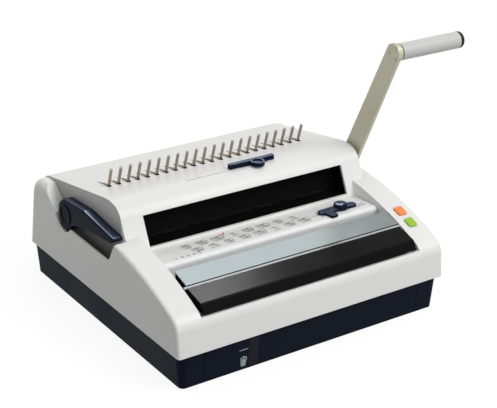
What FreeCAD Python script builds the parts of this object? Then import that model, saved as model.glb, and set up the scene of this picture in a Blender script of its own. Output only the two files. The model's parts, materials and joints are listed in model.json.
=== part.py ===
import FreeCAD, Part
import Sketcher
import math
import os

os.makedirs("parts", exist_ok=True)
Vector = FreeCAD.Vector

# Driving sizes in millimetres and degrees, grouped by the piece they belong to
# X runs to the right, Y from the front edge of the tray to its back, Z up from the floor
SIZES = {
    "base_tray": {
        "zero": 0, "inside": 8, "deep": 380, "floor_low": 1.2, "floor_top": 4, "rim": 47, "flare": 4.9,
        "corner": 7, "inner_corner": 4,
        "wall": 3, "mouth_half": 165.4, "mouth_low": 2.4, "mouth_deep": 15, "mouth_out": 10,
        "inlet_x": 120, "inlet_z": 26, "inlet_wide": 28, "inlet_high": 21,
        "rocker_x": 76, "rocker_wide": 13.6, "rocker_high": 20, "rear_cut": 16,
        "post_radius": 5.5, "post_top": 30, "post_inset": 10,
        "front_post_y": 22, "rear_post_y": 362, "screw_hole": 2.1, "head_hole": 4.2, "head_top": 6,
        "foot_hole": 7.1, "foot_top": 2.6, "foot_inset": 22, "foot_front": 30, "foot_back": 350},
    "top_cover": {
        "half": 204, "lip": 47.6, "front": -8, "front_top": -4.4, "front_top_z": 80.29, "nose_y": 8, "nose_z": 97.5,
        "nose_radius": 21.57, "deck_back": 142, "deck_back_z": 137, "deck_radius": 480, "shoulder_y": 176,
        "shoulder_z": 141.81, "ramp_top_y": 334, "ramp_top_z": 148.6, "rear_top_y": 350, "rear_top_z": 148.6,
        "rear_radius": 24, "rear_y": 373.64, "rear_z": 128.77, "back": 388, "edge_round": 4, "rear_round": 12,
        "tower_half": 186, "tower_low_y": 137, "tower_low_z": 100, "face_low_y": 137.3, "face_low_z": 119.8,
        "face_top_y": 156, "face_top_z": 160.5, "brow_y": 172, "brow_z": 175, "brow_radius": 25.5,
        "crest_y": 200, "crest_z": 175.6, "crest_radius": 66, "plateau_y": 350, "plateau_z": 150.75,
        "tower_rear_y": 374, "tower_rear_z": 130, "tower_rear_radius": 27, "tower_foot_y": 380,
        "wall": 2.6, "tower_wall": 3, "well_half": 167.6, "well_floor": 84, "well_lip": 90, "well_lip_y": 3, "well_top": 200,
        "cavity_top": 81, "cavity_front": -4.6, "cavity_back": 385,
        "throat_half": 155, "throat_low_y": 138.3, "throat_low_z": 121.9, "throat_top_y": 155.8,
        "throat_top_z": 159.7, "throat_deep": 12,
        "side_in": 201.4, "notch_floor": 108.5, "left_notch_y": 158, "right_notch_y": 184, "right_front_y": 170,
        "right_front_z": 140.97, "hub_gap": 23, "hub_front_y": 261, "hub_front_z": 110.7,
        "ramp_low_y": 301.6, "ramp_low_z": 121, "recess_floor": 64, "under": 40,
        "slot_x": -72, "slot_end": 54, "slot_y": 185.4, "slot_wide": 2.2, "slot_deep": 8,
        "boss_radius": 4.4, "boss_low": 30, "boss_hole": 1.6, "boss_hole_deep": 16,
        "front_boss_high": 72, "rear_boss_high": 112},
    "hooks": {
        "pitch": 14.2875, "count": 22, "first": -155, "surface_y": 242, "surface_z": 168.62, "slope": -9.4,
        "hole_radius": 3.3, "hole_shift": 0.8, "hole_long": 2.3, "slit_half": 1, "slit_end": 30, "slit_join": 3.945,
        "cut_deep": 7, "pin_radius": 2, "pin_lean": 26.4, "pin_foot_y": 8.4, "pin_foot_z": -16.1, "pin_long": 45,
        "rack_half": 164, "bar_half": 165, "rack_front": 1, "rack_back": 11.5, "rack_top": -12.5, "rack_low": -20,
        "blade_thick": 1.5, "blade_front": 9, "blade_back": 15, "blade_top": 2, "head_front": 4.6,
        "head_low": 0.6, "bar_front": 13, "bar_back": 24, "guide_in": 160, "guide_out": 171, "guide_front": -2,
        "guide_back": 42, "guide_gap": 0.4, "guide_low": -23, "guide_top": -9, "travel": 14, "waist_y": 13,
        "waist_z": -8, "neck_z": -3},
    "throat_liner": {
        "half": 157, "inner_half": 155, "top_back": 186, "top_back_z": 164, "low_back": 169.2,
        "inner_low_front": 136, "inner_low_z": 121.5, "inner_back_z": 119.9, "inner_back": 167,
        "inner_top_back": 183.6, "inner_top_z": 161.6, "inner_top_front": 152, "inner_top_front_z": 158.4,
        "slot_high": 3.6, "slot_deep": 6},
    "paper_table": {
        "half": 167.1, "back": 136.9, "back_z": 118.03, "front": 94, "front_z": 120, "nose": 88.2, "nose_z": 114,
        "round": 6, "thick": 2.5, "slot_left": 72, "slot_right": 158, "slot_y": 110,
        "slot_wide": 3.4, "slot_deep": 10},
    "edge_guide": {
        "left": 86, "right": 146, "front": 104, "back": 117, "thick": 3, "knob_x": 122, "knob_y": 111,
        "knob_radius": 9.5, "knob_high": 9, "knob_round": 4, "tab_left": 92, "tab_right": 104, "tab_front": 90,
        "tab_round": 3, "stem_left": 110, "stem_right": 134, "stem_deep": 6, "gap": 0.35, "corner": 5,
        "tilt": -2.63, "table_z": 119.27, "table_y": 110},
    "deck_plate": {
        "left": -161, "right": 166.2, "back": 70, "back_z": 120.4, "front": 43.6, "front_z": 112.4, "thick": 1.6},
    "deck_trim": {"half": 166, "back": 41.8, "front": 38.9, "top_back": 111.9, "top_front": 110.9},
    "press_bar": {
        "half": 163, "back": 38.2, "back_z": 111.4, "crease_y": 9.4, "crease_z": 104.9, "brow_y": 7.0,
        "brow_z": 103.4, "brow_radius": 3, "low_y": 0.6, "low_z": 92.8, "wall": 2.5, "pin_y": 33, "pin_z": 97,
        "pin_radius": 1.5, "pin_half": 169.4, "pin_gap": 0.06, "ear": 5, "ear_low": 93, "cheek": 3},
    "press_switch": {"x": -10, "y": 12, "wide": 20, "deep": 9, "high": 10, "stem": 1.5, "stem_high": 8.6},
    "buttons": {
        "wide": 13.4, "deep": 15.6, "corner": 3.5, "proud": 2.6, "sunk": 9, "crown": 1.3, "gap": 0.35, "x": 184.4,
        "front_y": 40.2, "front_z": 110.75, "front_tilt": 20.9, "back_y": 62.2, "back_z": 118.75, "back_tilt": 18.2,
        "cut": 20},
    "button_board": {
        "x": 170.2, "y": 28, "z": 86.5, "wide": 31.2, "deep": 50, "thick": 1.6, "tilt": 19.6,
        "switch": 6, "switch_high": 4.5, "stem": 1.7, "stem_high": 1.6, "front_at": 16.8, "back_at": 39.8},
    "top_slider": {
        "left": -5, "right": 66, "low_z": 177.1, "front": 186.4, "back": 193, "high": 6.2, "knob_x": 35,
        "knob_out": 5.5, "knob_radius": 9.6, "knob_low": 1.2, "knob_high": 5.4, "dish": 6.6, "dish_deep": 2.6,
        "stem_left": 12,
        "stem_right": 40, "stem_gap": 0.35, "stem_deep": 7, "corner": 1.2},
    "handle": {
        "pivot_y": 214, "pivot_z": 92, "arm_x": 191.2, "arm_thick": 5, "reach": 259, "lean": 25.4, "foot_half": 15.6,
        "foot_drop": 9, "hub_radius": 18, "top_half": 12.6, "top_rise": 3.2, "top_radius": 13, "shaft_radius": 6,
        "shaft_left": 168, "shaft_right": 198.6, "fit": 0.06, "collar_radius": 9, "collar_left": 186.6,
        "nut_radius": 9, "nut_long": 2.2, "crank_left": 176, "crank_thick": 4, "crank_long": 17, "crank_half": 9,
        "crank_hole": 2.5, "bush_wall": 2.5, "bush_rim": 2, "bush_long": 5.3, "spindle_radius": 5,
        "spindle_long": 103.4, "flange_radius": 12, "flange_thick": 3, "sleeve_radius": 8, "sleeve_long": 5.4,
        "rivet_radius": 2.4, "rivet_shank": 1.5, "rivet_out": 8, "rivet_side": 6.93, "rivet_high": 1.2,
        "grip_start": 202, "grip_long": 98, "grip_radius": 11.4, "grip_round": 1.5, "cap_long": 7,
        "cap_round": 3.5},
    "lever": {
        "pivot_y": 279, "pivot_z": 125, "left": -201, "thick": 13.6, "hub_radius": 20.6, "root_y": 18,
        "root_z": 10.02, "low_mid_y": 56, "low_mid_z": 0.7, "tip_y": 128, "tip_low_y": 117.6, "tip_low": 5.5,
        "tip_top": 16, "tip_round": 5.2, "top_mid_y": 50, "top_mid_z": 24, "soften": 3, "bore_deep": 10,
        "shaft_radius": 5, "shaft_long": 48, "disc_radius": 14.5, "disc_high": 1.1, "dish_radius": 10.5,
        "dish_deep": 0.8, "cam_x": -180,
        "cam_thick": 4, "cam_radius": 14, "cam_shift": 5},
    "chip_drawer": {
        "half": 164.8, "low": 2.9, "top": 46, "front_low": 0.2, "front_top": 3.9, "thick": 4.5, "box_half": 158,
        "box_low": 5.2, "box_high": 32, "box_back": 206, "wall": 2},
    "drawer_rail": {"in": 158.6, "out": 161.4, "high": 9, "front": 12, "long": 230},
    "punch": {
        "die_half": 171, "plate_half": 159, "spacer": 3.5, "plate_y": 181, "plate_deep": 23, "die_low": 110,
        "die_top": 119.4, "guide_low": 124, "guide_top": 131, "hole_wide": 3.1, "hole_deep": 8.1, "hole_y": 192,
        "pin_wide": 3, "pin_deep": 8, "pin_low": 124.6, "bar_low": 148, "bar_high": 7, "bar_deep": 12,
        "bar_half": 156, "first": -150, "side_x": 171, "side_thick": 2, "side_front": 166, "side_back": 294,
        "side_top": 148, "side_high_y": 196, "side_step_z": 119},
    "drive": {
        "shaft_y": 206, "shaft_z": 138, "shaft_radius": 5, "shaft_left": -182, "shaft_right": 174.6,
        "cam_x": 160.5, "cam_thick": 6, "cam_radius": 9, "cam_shift": 3.5, "gear_x": -181.5, "gear_thick": 6,
        "gear_radius": 20.5, "gear_teeth": 41, "tooth_high": 2, "tooth_half": 0.8, "hub_radius": 9, "hub_long": 2,
        "pinion_radius": 5.6, "pinion_y": 231.5, "pinion_z": 125.4, "nose_long": 13, "nose_radius": 9,
        "motor_long": 66, "motor_radius": 18, "motor_shaft": 2.5, "shaft_hole": 3.5, "gap": 0.4},
    "board": {"x": -150, "y": 224, "z": 10, "wide": 110, "deep": 90, "thick": 1.6, "leg": 3, "inset": 6,
        "coil_x": -140, "coil_y": 240, "coil_wide": 42, "coil_deep": 36, "coil_high": 30, "can_radius": 9,
        "can_high": 24, "can_x": -70, "can_y": 252, "sink_x": -90, "sink_y": 276, "sink_wide": 34,
        "sink_deep": 4, "sink_high": 22},
    "inlet": {
        "out": 4.4, "in": 14, "flange": 3, "flange_thick": 2, "wall": 3, "well": 12, "blade_wide": 2,
        "blade_high": 5, "blade_long": 7, "blade_step": 6},
    "rocker": {
        "out": 4, "in": 9, "wall": 2, "well": 11, "gap": 0.4, "half_high": 6.7, "back": -3.5, "proud": 6,
        "dip": 4.6, "axle_radius": 1.5, "axle_half": 6.2, "axle_gap": 0.06, "swing": 12},
    "foot": {"radius": 7, "low": 0, "top": 2.6},
    "screw": {"radius": 1.6, "head_radius": 3.8, "head_high": 2.4, "head_z": 3.6, "long": 40},
}

# Sheet that drives every sketch and every primitive
doc = FreeCAD.newDocument("BindingMachine")
sheet = doc.addObject("Spreadsheet::Sheet", "Sizes")
finished = []


def fill_sheet():
    row = 0
    for piece, sizes in SIZES.items():
        for word, size in sizes.items():
            row += 1
            sheet.set("A%d" % row, "%s %s" % (piece, word))
            sheet.set("B%d" % row, str(size))
            sheet.setAlias("B%d" % row, "%s_%s" % (piece, word))
    doc.recompute()


# One piece of the machine; sizes are given as short sums of words such as "half - wall"
class Piece:
    def __init__(self, label, group=None, body=True):
        self.label = label
        self.group = group or label
        self.count = 0
        self.body = None
        if body:
            self.body = doc.addObject("PartDesign::Body", label)
            self.body.Label = label

    def owner(self, word):
        piece, dot, name = word.rpartition(".")
        return (piece or self.group), name

    def terms(self, text):
        sign = 1
        for word in text.split():
            if word in "+-":
                sign = 1 if word == "+" else -1
            else:
                yield sign, word.split("*")
                sign = 1

    def number(self, text):
        total = 0.0
        for sign, factors in self.terms(text):
            amount = float(sign)
            for factor in factors:
                if factor[0].isdigit():
                    amount *= float(factor)
                else:
                    piece, name = self.owner(factor)
                    amount *= SIZES[piece][name]
            total += amount
        return total

    def formula(self, text):
        words = []
        for sign, factors in self.terms(text):
            named = []
            for factor in factors:
                if factor[0].isdigit():
                    named.append(factor)
                else:
                    named.append("Sizes.%s_%s" % self.owner(factor))
            words.append(("+ " if sign > 0 else "- ") + " * ".join(named))
        whole = " ".join(words)
        return whole[2:] if whole.startswith("+ ") else "0 " + whole

    def bind(self, thing, prop, text):
        thing.setExpression(prop, self.formula(text))

    def name(self, word):
        self.count += 1
        return "%s_%s%d" % (self.label, word, self.count)

    # A closed outline on an origin plane; a corner is (a, b) or, ending an arc, (a, b, radius, side)
    def outline(self, plane, shift, corners, tilt=None, origin=None):
        sketch = self.body.newObject("Sketcher::SketchObject", self.name("outline"))
        roles = [feature for feature in self.body.Origin.OriginFeatures if feature.Role == plane]
        sketch.AttachmentSupport = [(roles[0], "")]
        sketch.MapMode = "FlatFace"
        turn = FreeCAD.Rotation(Vector(1, 0, 0), self.number(tilt) if tilt else 0)
        sketch.AttachmentOffset = FreeCAD.Placement(Vector(0, 0, self.number(shift)), turn)
        self.bind(sketch, "AttachmentOffset.Base.z", shift)
        if origin:
            self.bind(sketch, "AttachmentOffset.Base.x", origin[0])
            self.bind(sketch, "AttachmentOffset.Base.y", origin[1])
        if tilt:
            self.bind(sketch, "AttachmentOffset.Rotation.Angle", tilt)
        self.trace(sketch, corners)
        return sketch

    def trace(self, sketch, corners):
        points = [Vector(self.number(corner[0]), self.number(corner[1]), 0) for corner in corners]
        ends = []
        for index, start in enumerate(points):
            following = (index + 1) % len(points)
            stop = points[following]
            if len(corners[following]) == 2:
                item = sketch.addGeometry(Part.LineSegment(start, stop), False)
                ends.append((item, 1, 2))
                continue
            radius = self.number(corners[following][2])
            chord = stop - start
            left = Vector(-chord.y, chord.x, 0).normalize()
            height = math.sqrt(max(0.0, radius ** 2 - (0.5 * chord.Length) ** 2))
            clockwise = corners[following][3] == "left"
            centre = (start + stop) * 0.5 + left * (-height if clockwise else height)
            first, last = (stop, start) if clockwise else (start, stop)
            begin = math.atan2(first.y - centre.y, first.x - centre.x)
            finish = math.atan2(last.y - centre.y, last.x - centre.x)
            if finish < begin:
                finish += 2 * math.pi
            whole = Part.Circle(centre, Vector(0, 0, 1), radius)
            item = sketch.addGeometry(Part.ArcOfCircle(whole, begin, finish), False)
            ends.append((item, 2, 1) if clockwise else (item, 1, 2))
            mark = sketch.addConstraint(Sketcher.Constraint("Radius", item, radius))
            sketch.setExpression("Constraints[%d]" % mark, self.formula(corners[following][2]))
        for index, (item, first, last) in enumerate(ends):
            after = ends[(index + 1) % len(ends)]
            sketch.addConstraint(Sketcher.Constraint("Coincident", item, last, after[0], after[1]))
        for index, (item, first, last) in enumerate(ends):
            for kind, text, amount in (("DistanceX", corners[index][0], points[index].x),
                                       ("DistanceY", corners[index][1], points[index].y)):
                mark = sketch.addConstraint(Sketcher.Constraint(kind, -1, 1, item, first, amount))
                sketch.setExpression("Constraints[%d]" % mark, self.formula(text))

    def circle(self, plane, shift, spots, radius, tilt=None, origin=None):
        sketch = self.outline(plane, shift, [], tilt, origin)
        size = self.number(radius)
        for spot in spots:
            centre = Vector(self.number(spot[0]), self.number(spot[1]), 0)
            item = sketch.addGeometry(Part.Circle(centre, Vector(0, 0, 1), size), False)
            mark = sketch.addConstraint(Sketcher.Constraint("Radius", item, size))
            sketch.setExpression("Constraints[%d]" % mark, self.formula(radius))
            for kind, text, amount in (("DistanceX", spot[0], centre.x), ("DistanceY", spot[1], centre.y)):
                mark = sketch.addConstraint(Sketcher.Constraint(kind, -1, 1, item, 3, amount))
                sketch.setExpression("Constraints[%d]" % mark, self.formula(text))
        return sketch

    def rounded(self, left, right, low, high, radius):
        return [(left + " + " + radius, low, radius, "right"), (right + " - " + radius, low),
                (right, low + " + " + radius, radius, "right"), (right, high + " - " + radius),
                (right + " - " + radius, high, radius, "right"), (left + " + " + radius, high),
                (left, high + " - " + radius, radius, "right"), (left, low + " + " + radius)]

    def oblong(self, left, right, low, high):
        return [(left, low), (right, low), (right, high), (left, high)]

    def pad(self, sketch, length, both=False, taper=None):
        feature = self.body.newObject("PartDesign::Pad", self.name("pad"))
        feature.Profile = sketch
        self.bind(feature, "Length", length)
        if both:
            feature.SideType = "Symmetric"
        if taper:
            self.bind(feature, "TaperAngle", taper)
        return self.done(feature)

    def pocket(self, sketch, length, both=False):
        before = self.body.Shape.Volume
        feature = self.body.newObject("PartDesign::Pocket", self.name("pocket"))
        feature.Profile = sketch
        self.bind(feature, "Length", length)
        if both:
            feature.SideType = "Symmetric"
        self.done(feature)
        if feature.Shape.Volume >= before - 0.01:
            raise ValueError("%s removes nothing" % feature.Name)
        return feature

    def row_of(self, feature, direction, count, length):
        pattern = self.body.newObject("PartDesign::LinearPattern", self.name("row"))
        pattern.Originals = [feature]
        pattern.Direction = direction
        self.bind(pattern, "Occurrences", count)
        self.bind(pattern, "Length", length)
        self.body.Tip = pattern
        return self.done(pattern)

    def ring_of(self, feature, axis, count):
        pattern = self.body.newObject("PartDesign::PolarPattern", self.name("ring"))
        pattern.Originals = [feature]
        pattern.Axis = axis
        pattern.Angle = 360
        self.bind(pattern, "Occurrences", count)
        self.body.Tip = pattern
        return self.done(pattern)

    def fillet(self, test, radius):
        base = self.body.Tip
        names = ["Edge%d" % (index + 1) for index, edge in enumerate(base.Shape.Edges) if test(edge)]
        feature = self.body.newObject("PartDesign::Fillet", self.name("fillet"))
        feature.Base = (base, names)
        self.bind(feature, "Radius", radius)
        return self.done(feature)

    def done(self, feature):
        doc.recompute()
        if "Invalid" in feature.State or "Error" in feature.State or feature.Shape.isNull():
            raise ValueError("%s failed: %s" % (feature.Name, feature.getStatusString()))
        return feature

    # Plain blocks and rods joined or cut, for simple inner pieces
    def block(self, x, y, z, wide, deep, high):
        item = doc.addObject("Part::Box", self.name("block"))
        for prop, text in (("Length", wide), ("Width", deep), ("Height", high), ("Placement.Base.x", x),
                           ("Placement.Base.y", y), ("Placement.Base.z", z)):
            self.bind(item, prop, text)
        return item

    def rod(self, axis, x, y, z, radius, length):
        item = doc.addObject("Part::Cylinder", self.name("rod"))
        turns = {"x": FreeCAD.Rotation(Vector(0, 1, 0), 90), "y": FreeCAD.Rotation(Vector(1, 0, 0), -90),
                 "z": FreeCAD.Rotation()}
        item.Placement = FreeCAD.Placement(Vector(0, 0, 0), turns[axis])
        for prop, text in (("Radius", radius), ("Height", length), ("Placement.Base.x", x),
                           ("Placement.Base.y", y), ("Placement.Base.z", z)):
            self.bind(item, prop, text)
        return item

    def join(self, items):
        item = doc.addObject("Part::MultiFuse", self.name("joined"))
        item.Shapes = items
        return item

    def less(self, base, items):
        item = doc.addObject("Part::Cut", self.name("cut"))
        item.Base = base
        item.Tool = items[0] if len(items) == 1 else self.join(items)
        return item

    # Sets the finished piece in place and names it
    def finish(self, item=None, x="base_tray.zero", y="base_tray.zero", z="base_tray.zero", tilt=None):
        item = item or self.body
        if item.TypeId in ("Part::Box", "Part::Cylinder"):
            alone = doc.addObject("Part::Compound", self.name("alone"))
            alone.Links = [item]
            item = alone
        item.Label = self.label
        doc.recompute()
        turn = FreeCAD.Rotation(Vector(1, 0, 0), self.number(tilt) if tilt else 0)
        item.Placement = FreeCAD.Placement(Vector(0, 0, 0), turn)
        self.bind(item, "Placement.Base.x", x)
        self.bind(item, "Placement.Base.y", y + " - 0.5*base_tray.deep")
        self.bind(item, "Placement.Base.z", z)
        doc.recompute()
        finished.append(item)
        return item


# Places the same distance in from the right and the left side of the tray
def both_sides(inset):
    return ("top_cover.half - base_tray.inside - base_tray." + inset,
            "base_tray." + inset + " + base_tray.inside - top_cover.half")


def top_cover():
    cover = Piece("top_cover")
    body_shape = [
        ("front", "lip"), ("front_top", "front_top_z"), ("nose_y", "nose_z", "nose_radius", "left"),
        ("deck_back", "deck_back_z", "deck_radius", "left"), ("shoulder_y", "shoulder_z"),
        ("ramp_top_y", "ramp_top_z"), ("rear_top_y", "rear_top_z"), ("rear_y", "rear_z", "rear_radius", "left"),
        ("back", "lip")]
    cover.pad(cover.outline("YZ_Plane", "base_tray.zero", body_shape), "2*half", both=True)

    def front_edge(edge):
        middle = edge.valueAt(0.5 * (edge.FirstParameter + edge.LastParameter))
        side = abs(abs(middle.x) - cover.number("half")) < 0.01
        return side and middle.y < cover.number("deck_back") and middle.z > cover.number("lip + 1")

    def rear_edge(edge):
        middle = edge.valueAt(0.5 * (edge.FirstParameter + edge.LastParameter))
        side = abs(abs(middle.x) - cover.number("half")) < 0.01
        return side and middle.y > cover.number("ramp_top_y") and middle.z > cover.number("lip + 1")

    cover_notches(cover)
    cover.fillet(rear_edge, "rear_round")
    cover.fillet(front_edge, "edge_round")
    tower = [
        ("tower_low_y", "tower_low_z"), ("face_low_y", "face_low_z"), ("face_top_y", "face_top_z"),
        ("brow_y", "brow_z", "brow_radius", "left"), ("crest_y", "crest_z", "crest_radius", "left"),
        ("plateau_y", "plateau_z"), ("tower_rear_y", "tower_rear_z", "tower_rear_radius", "left"),
        ("tower_foot_y", "tower_low_z")]
    cover.pad(cover.outline("YZ_Plane", "base_tray.zero", tower), "2*tower_half", both=True)
    cover_hollows(cover)
    cover_openings(cover)
    cover.finish()


def cover_notches(cover):
    for side, back_y, front in (("left", "left_notch_y", ("deck_back", "deck_back_z")),
                                ("right", "right_notch_y", ("right_front_y", "right_front_z"))):
        notch = [
            front, (back_y, "notch_floor"), ("hub_front_y", "hub_front_z"),
            ("ramp_low_y", "ramp_low_z", "hub_gap", "right"), ("ramp_top_y", "ramp_top_z"),
            ("ramp_top_y", "well_top"), (front[0], "well_top")]
        start = "half + wall" if side == "right" else "0 - tower_half"
        cover.pocket(cover.outline("YZ_Plane", start, notch), "half + wall - tower_half")


def cover_hollows(cover):
    main = [
        ("cavity_front", "under"), ("front_top + wall", "cavity_top"),
        ("tower_low_y + wall", "cavity_top"), ("face_low_y + 1.1*wall", "face_low_z - wall"),
        ("face_top_y + wall", "face_top_z - wall"), ("brow_y + wall", "brow_z - 1.2*wall"),
        ("crest_y", "crest_z - 1.1*wall"), ("plateau_y - wall", "plateau_z - wall"),
        ("rear_y - 3.5*wall", "rear_z + 3*wall"), ("rear_y - 1.5*wall", "rear_z - wall"),
        ("cavity_back", "under")]
    cover.pocket(cover.outline("YZ_Plane", "base_tray.zero", main), "2*tower_half - 2*tower_wall", both=True)
    for side, back_y, back_z in (("left", "left_notch_y", "deck_back_z"), ("right", "right_notch_y", "deck_back_z")):
        recess = [
            (back_y, "recess_floor"), ("ramp_low_y", "recess_floor"), ("ramp_low_y", "ramp_low_z + wall"),
            (back_y, "ramp_low_z + wall")]
        start = "side_in" if side == "right" else "0 - tower_half"
        cover.pocket(cover.outline("YZ_Plane", start, recess), "side_in - tower_half")
        beneath = [
            (back_y, "under"), ("ramp_low_y - wall", "under"), ("ramp_low_y - wall", "recess_floor - wall"),
            (back_y, "recess_floor - wall")]
        cover.pocket(cover.outline("YZ_Plane", start, beneath), "side_in - tower_half")
        behind = [
            ("ramp_low_y + wall", "under"), ("cavity_back", "under"), ("rear_y - 2*wall", "rear_z"),
            ("rear_top_y", "rear_top_z - 1.5*wall"), ("ramp_top_y", "ramp_top_z - 1.5*wall"),
            ("ramp_low_y + wall", "ramp_low_z - wall")]
        start = "side_in - 2*wall" if side == "right" else "0 - tower_half + tower_wall"
        cover.pocket(cover.outline("YZ_Plane", start, behind), "side_in - 2*wall - tower_half + tower_wall")

        reach = "deck_back" if side == "left" else "right_front_y"
        cheek = [
            ("cavity_front", "under"), ("front_top + wall", "front_top_z"), ("nose_y + 0.4*wall", "nose_z - 1.3*wall"),
            ("0.5*deck_back", "0.5*deck_back_z + 0.5*nose_z + 0.2*wall"), (reach + " - wall", "deck_back_z - 1.6*wall"),
            (back_y + " - wall", "notch_floor - wall"), (back_y + " - wall", "under")]
        start = "side_in" if side == "right" else "0 - well_half - wall"
        cover.pocket(cover.outline("YZ_Plane", start, cheek), "side_in - well_half - wall")

def cover_openings(cover):
    well = [
        ("front - 12", "well_lip"), ("well_lip_y", "well_lip"), ("well_lip_y + 2", "well_floor"),
        ("tower_low_y", "well_floor"), ("face_low_y", "face_low_z"), ("throat_low_y + 12", "throat_low_z + 26"),
        ("throat_low_y + 12", "well_top"), ("front - 12", "well_top")]
    cover.pocket(cover.outline("YZ_Plane", "base_tray.zero", well), "2*well_half", both=True)
    throat = [
        ("throat_low_y - throat_deep", "throat_low_z"), ("throat_low_y + throat_deep", "throat_low_z"),
        ("throat_top_y + throat_deep", "throat_top_z"), ("throat_top_y - throat_deep", "throat_top_z")]
    cover.pocket(cover.outline("YZ_Plane", "base_tray.zero", throat), "2*throat_half", both=True)
    zero = "base_tray.zero"
    keyhole = [
        ("0 - hooks.slit_half", "hooks.slit_join"),
        ("0 - hooks.hole_radius", "hooks.hole_shift", "hooks.hole_radius", "right"),
        ("0 - hooks.hole_radius", "hooks.hole_shift - hooks.hole_long"),
        (zero, "hooks.hole_shift - hooks.hole_long - hooks.hole_radius", "hooks.hole_radius", "right"),
        ("hooks.hole_radius", "hooks.hole_shift - hooks.hole_long", "hooks.hole_radius", "right"),
        ("hooks.hole_radius", "hooks.hole_shift"),
        ("hooks.slit_half", "hooks.slit_join", "hooks.hole_radius", "right"),
        ("hooks.slit_half", "hooks.slit_end"), ("0 - hooks.slit_half", "hooks.slit_end")]
    cut = cover.outline("XY_Plane", "hooks.surface_z", keyhole, "hooks.slope", ("hooks.first", "hooks.surface_y"))
    pocket = cover.pocket(cut, "hooks.cut_deep", both=True)
    cover.row_of(pocket, (cut, ["H_Axis"]), "hooks.count", "hooks.count*hooks.pitch - hooks.pitch")
    slot = cover.oblong("slot_x", "slot_end", "slot_y", "slot_y + slot_wide")
    cover.pocket(cover.outline("XY_Plane", "crest_z + 4", slot), "slot_deep")
    key = cover.rounded("0 - 0.5*buttons.wide - buttons.gap", "0.5*buttons.wide + buttons.gap",
                        "0 - 0.5*buttons.deep - buttons.gap", "0.5*buttons.deep + buttons.gap", "buttons.corner")
    for place in ("front", "back"):
        sketch = cover.outline("XY_Plane", "buttons.%s_z" % place, key, "buttons.%s_tilt" % place,
                               ("buttons.x", "buttons.%s_y" % place))
        cover.pocket(sketch, "buttons.cut", both=True)
    for start, spot, radius in (
            ("tower_half + 1", ("handle.pivot_y", "handle.pivot_z"), "handle.shaft_radius + handle.bush_wall"),
            ("0 - tower_half + tower_wall + 1", ("lever.pivot_y", "lever.pivot_z"),
             "lever.shaft_radius + handle.bush_wall")):
        cover.pocket(cover.circle("YZ_Plane", start, [spot], radius), "tower_wall + 2")
    for start in ("well_half + wall + 1", "0 - well_half + 1"):
        spot = [("press_bar.pin_y", "press_bar.pin_z")]
        cover.pocket(cover.circle("YZ_Plane", start, spot, "press_bar.pin_radius + press_bar.pin_gap"), "wall + 2")
    for place in ("front", "rear"):
        spots = [(x, "base_tray.%s_post_y" % place) for x in both_sides("post_inset")]
        cover.pad(cover.circle("XY_Plane", "boss_low", spots, "boss_radius"), place + "_boss_high")
        cover.pocket(cover.circle("XY_Plane", "boss_low + boss_hole_deep", spots, "boss_hole"), "boss_hole_deep + 1")


def base_tray():
    tray = Piece("base_tray")
    foot = tray.rounded("inside - top_cover.half", "top_cover.half - inside", "zero", "deep", "corner")
    tray.pad(tray.outline("XY_Plane", "floor_low", foot), "rim - floor_low", taper="flare")
    hollow = tray.rounded("inside + wall - top_cover.half", "top_cover.half - inside - wall", "wall", "deep - wall",
                          "inner_corner")
    tray.pocket(tray.outline("XY_Plane", "rim", hollow), "rim - floor_top")
    spots = [(x, place + "_post_y") for x in both_sides("post_inset") for place in ("front", "rear")]
    tray.pad(tray.circle("XY_Plane", "floor_top - 1", spots, "post_radius"), "post_top - floor_top + 1")
    tray.pocket(tray.circle("XY_Plane", "post_top + 1", spots, "screw_hole"), "post_top + 3")
    tray.pocket(tray.circle("XY_Plane", "head_top", spots, "head_hole"), "head_top + 1")
    feet = [(x, place) for x in both_sides("foot_inset") for place in ("foot_front", "foot_back")]
    feet.append(("zero", "0.5*deep"))
    tray.pocket(tray.circle("XY_Plane", "foot_top", feet, "foot_hole"), "foot_top + 1")
    mouth = tray.oblong("0 - mouth_half", "mouth_half", "mouth_low", "rim + 4")
    tray.pocket(tray.outline("XZ_Plane", "mouth_out", mouth), "mouth_deep")
    for place in ("inlet", "rocker"):
        x, wide, high = place + "_x", "0.5*%s_wide" % place, "0.5*%s_high" % place
        hole = tray.oblong(x + " - " + wide, x + " + " + wide, "inlet_z - " + high, "inlet_z + " + high)
        tray.pocket(tray.outline("XZ_Plane", "0 - deep + wall + 1", hole), "rear_cut")
    tray.finish()


def throat_liner():
    liner = Piece("throat_liner")
    shell = [
        ("top_cover.face_low_y + 1.1*top_cover.wall", "top_cover.face_low_z - top_cover.wall"),
        ("top_cover.face_top_y + top_cover.wall", "top_cover.face_top_z - top_cover.wall"),
        ("0.8*top_cover.face_top_y + 0.2*top_cover.brow_y + top_cover.wall",
         "0.8*top_cover.face_top_z + 0.2*top_cover.brow_z - 1.04*top_cover.wall"),
        ("top_back", "top_back_z"), ("low_back", "top_cover.face_low_z - top_cover.wall")]
    liner.pad(liner.outline("YZ_Plane", "base_tray.zero", shell), "2*half", both=True)
    hollow = [
        ("inner_low_front", "inner_low_z"), ("inner_back", "inner_back_z"), ("inner_top_back", "inner_top_z"),
        ("inner_top_front", "inner_top_front_z")]
    liner.pocket(liner.outline("YZ_Plane", "base_tray.zero", hollow), "2*inner_half", both=True)
    slot = liner.oblong("inner_back - 1", "inner_back + slot_deep", "inner_back_z", "inner_back_z + slot_high")
    liner.pocket(liner.outline("YZ_Plane", "base_tray.zero", slot), "2*inner_half", both=True)
    liner.finish()


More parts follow.
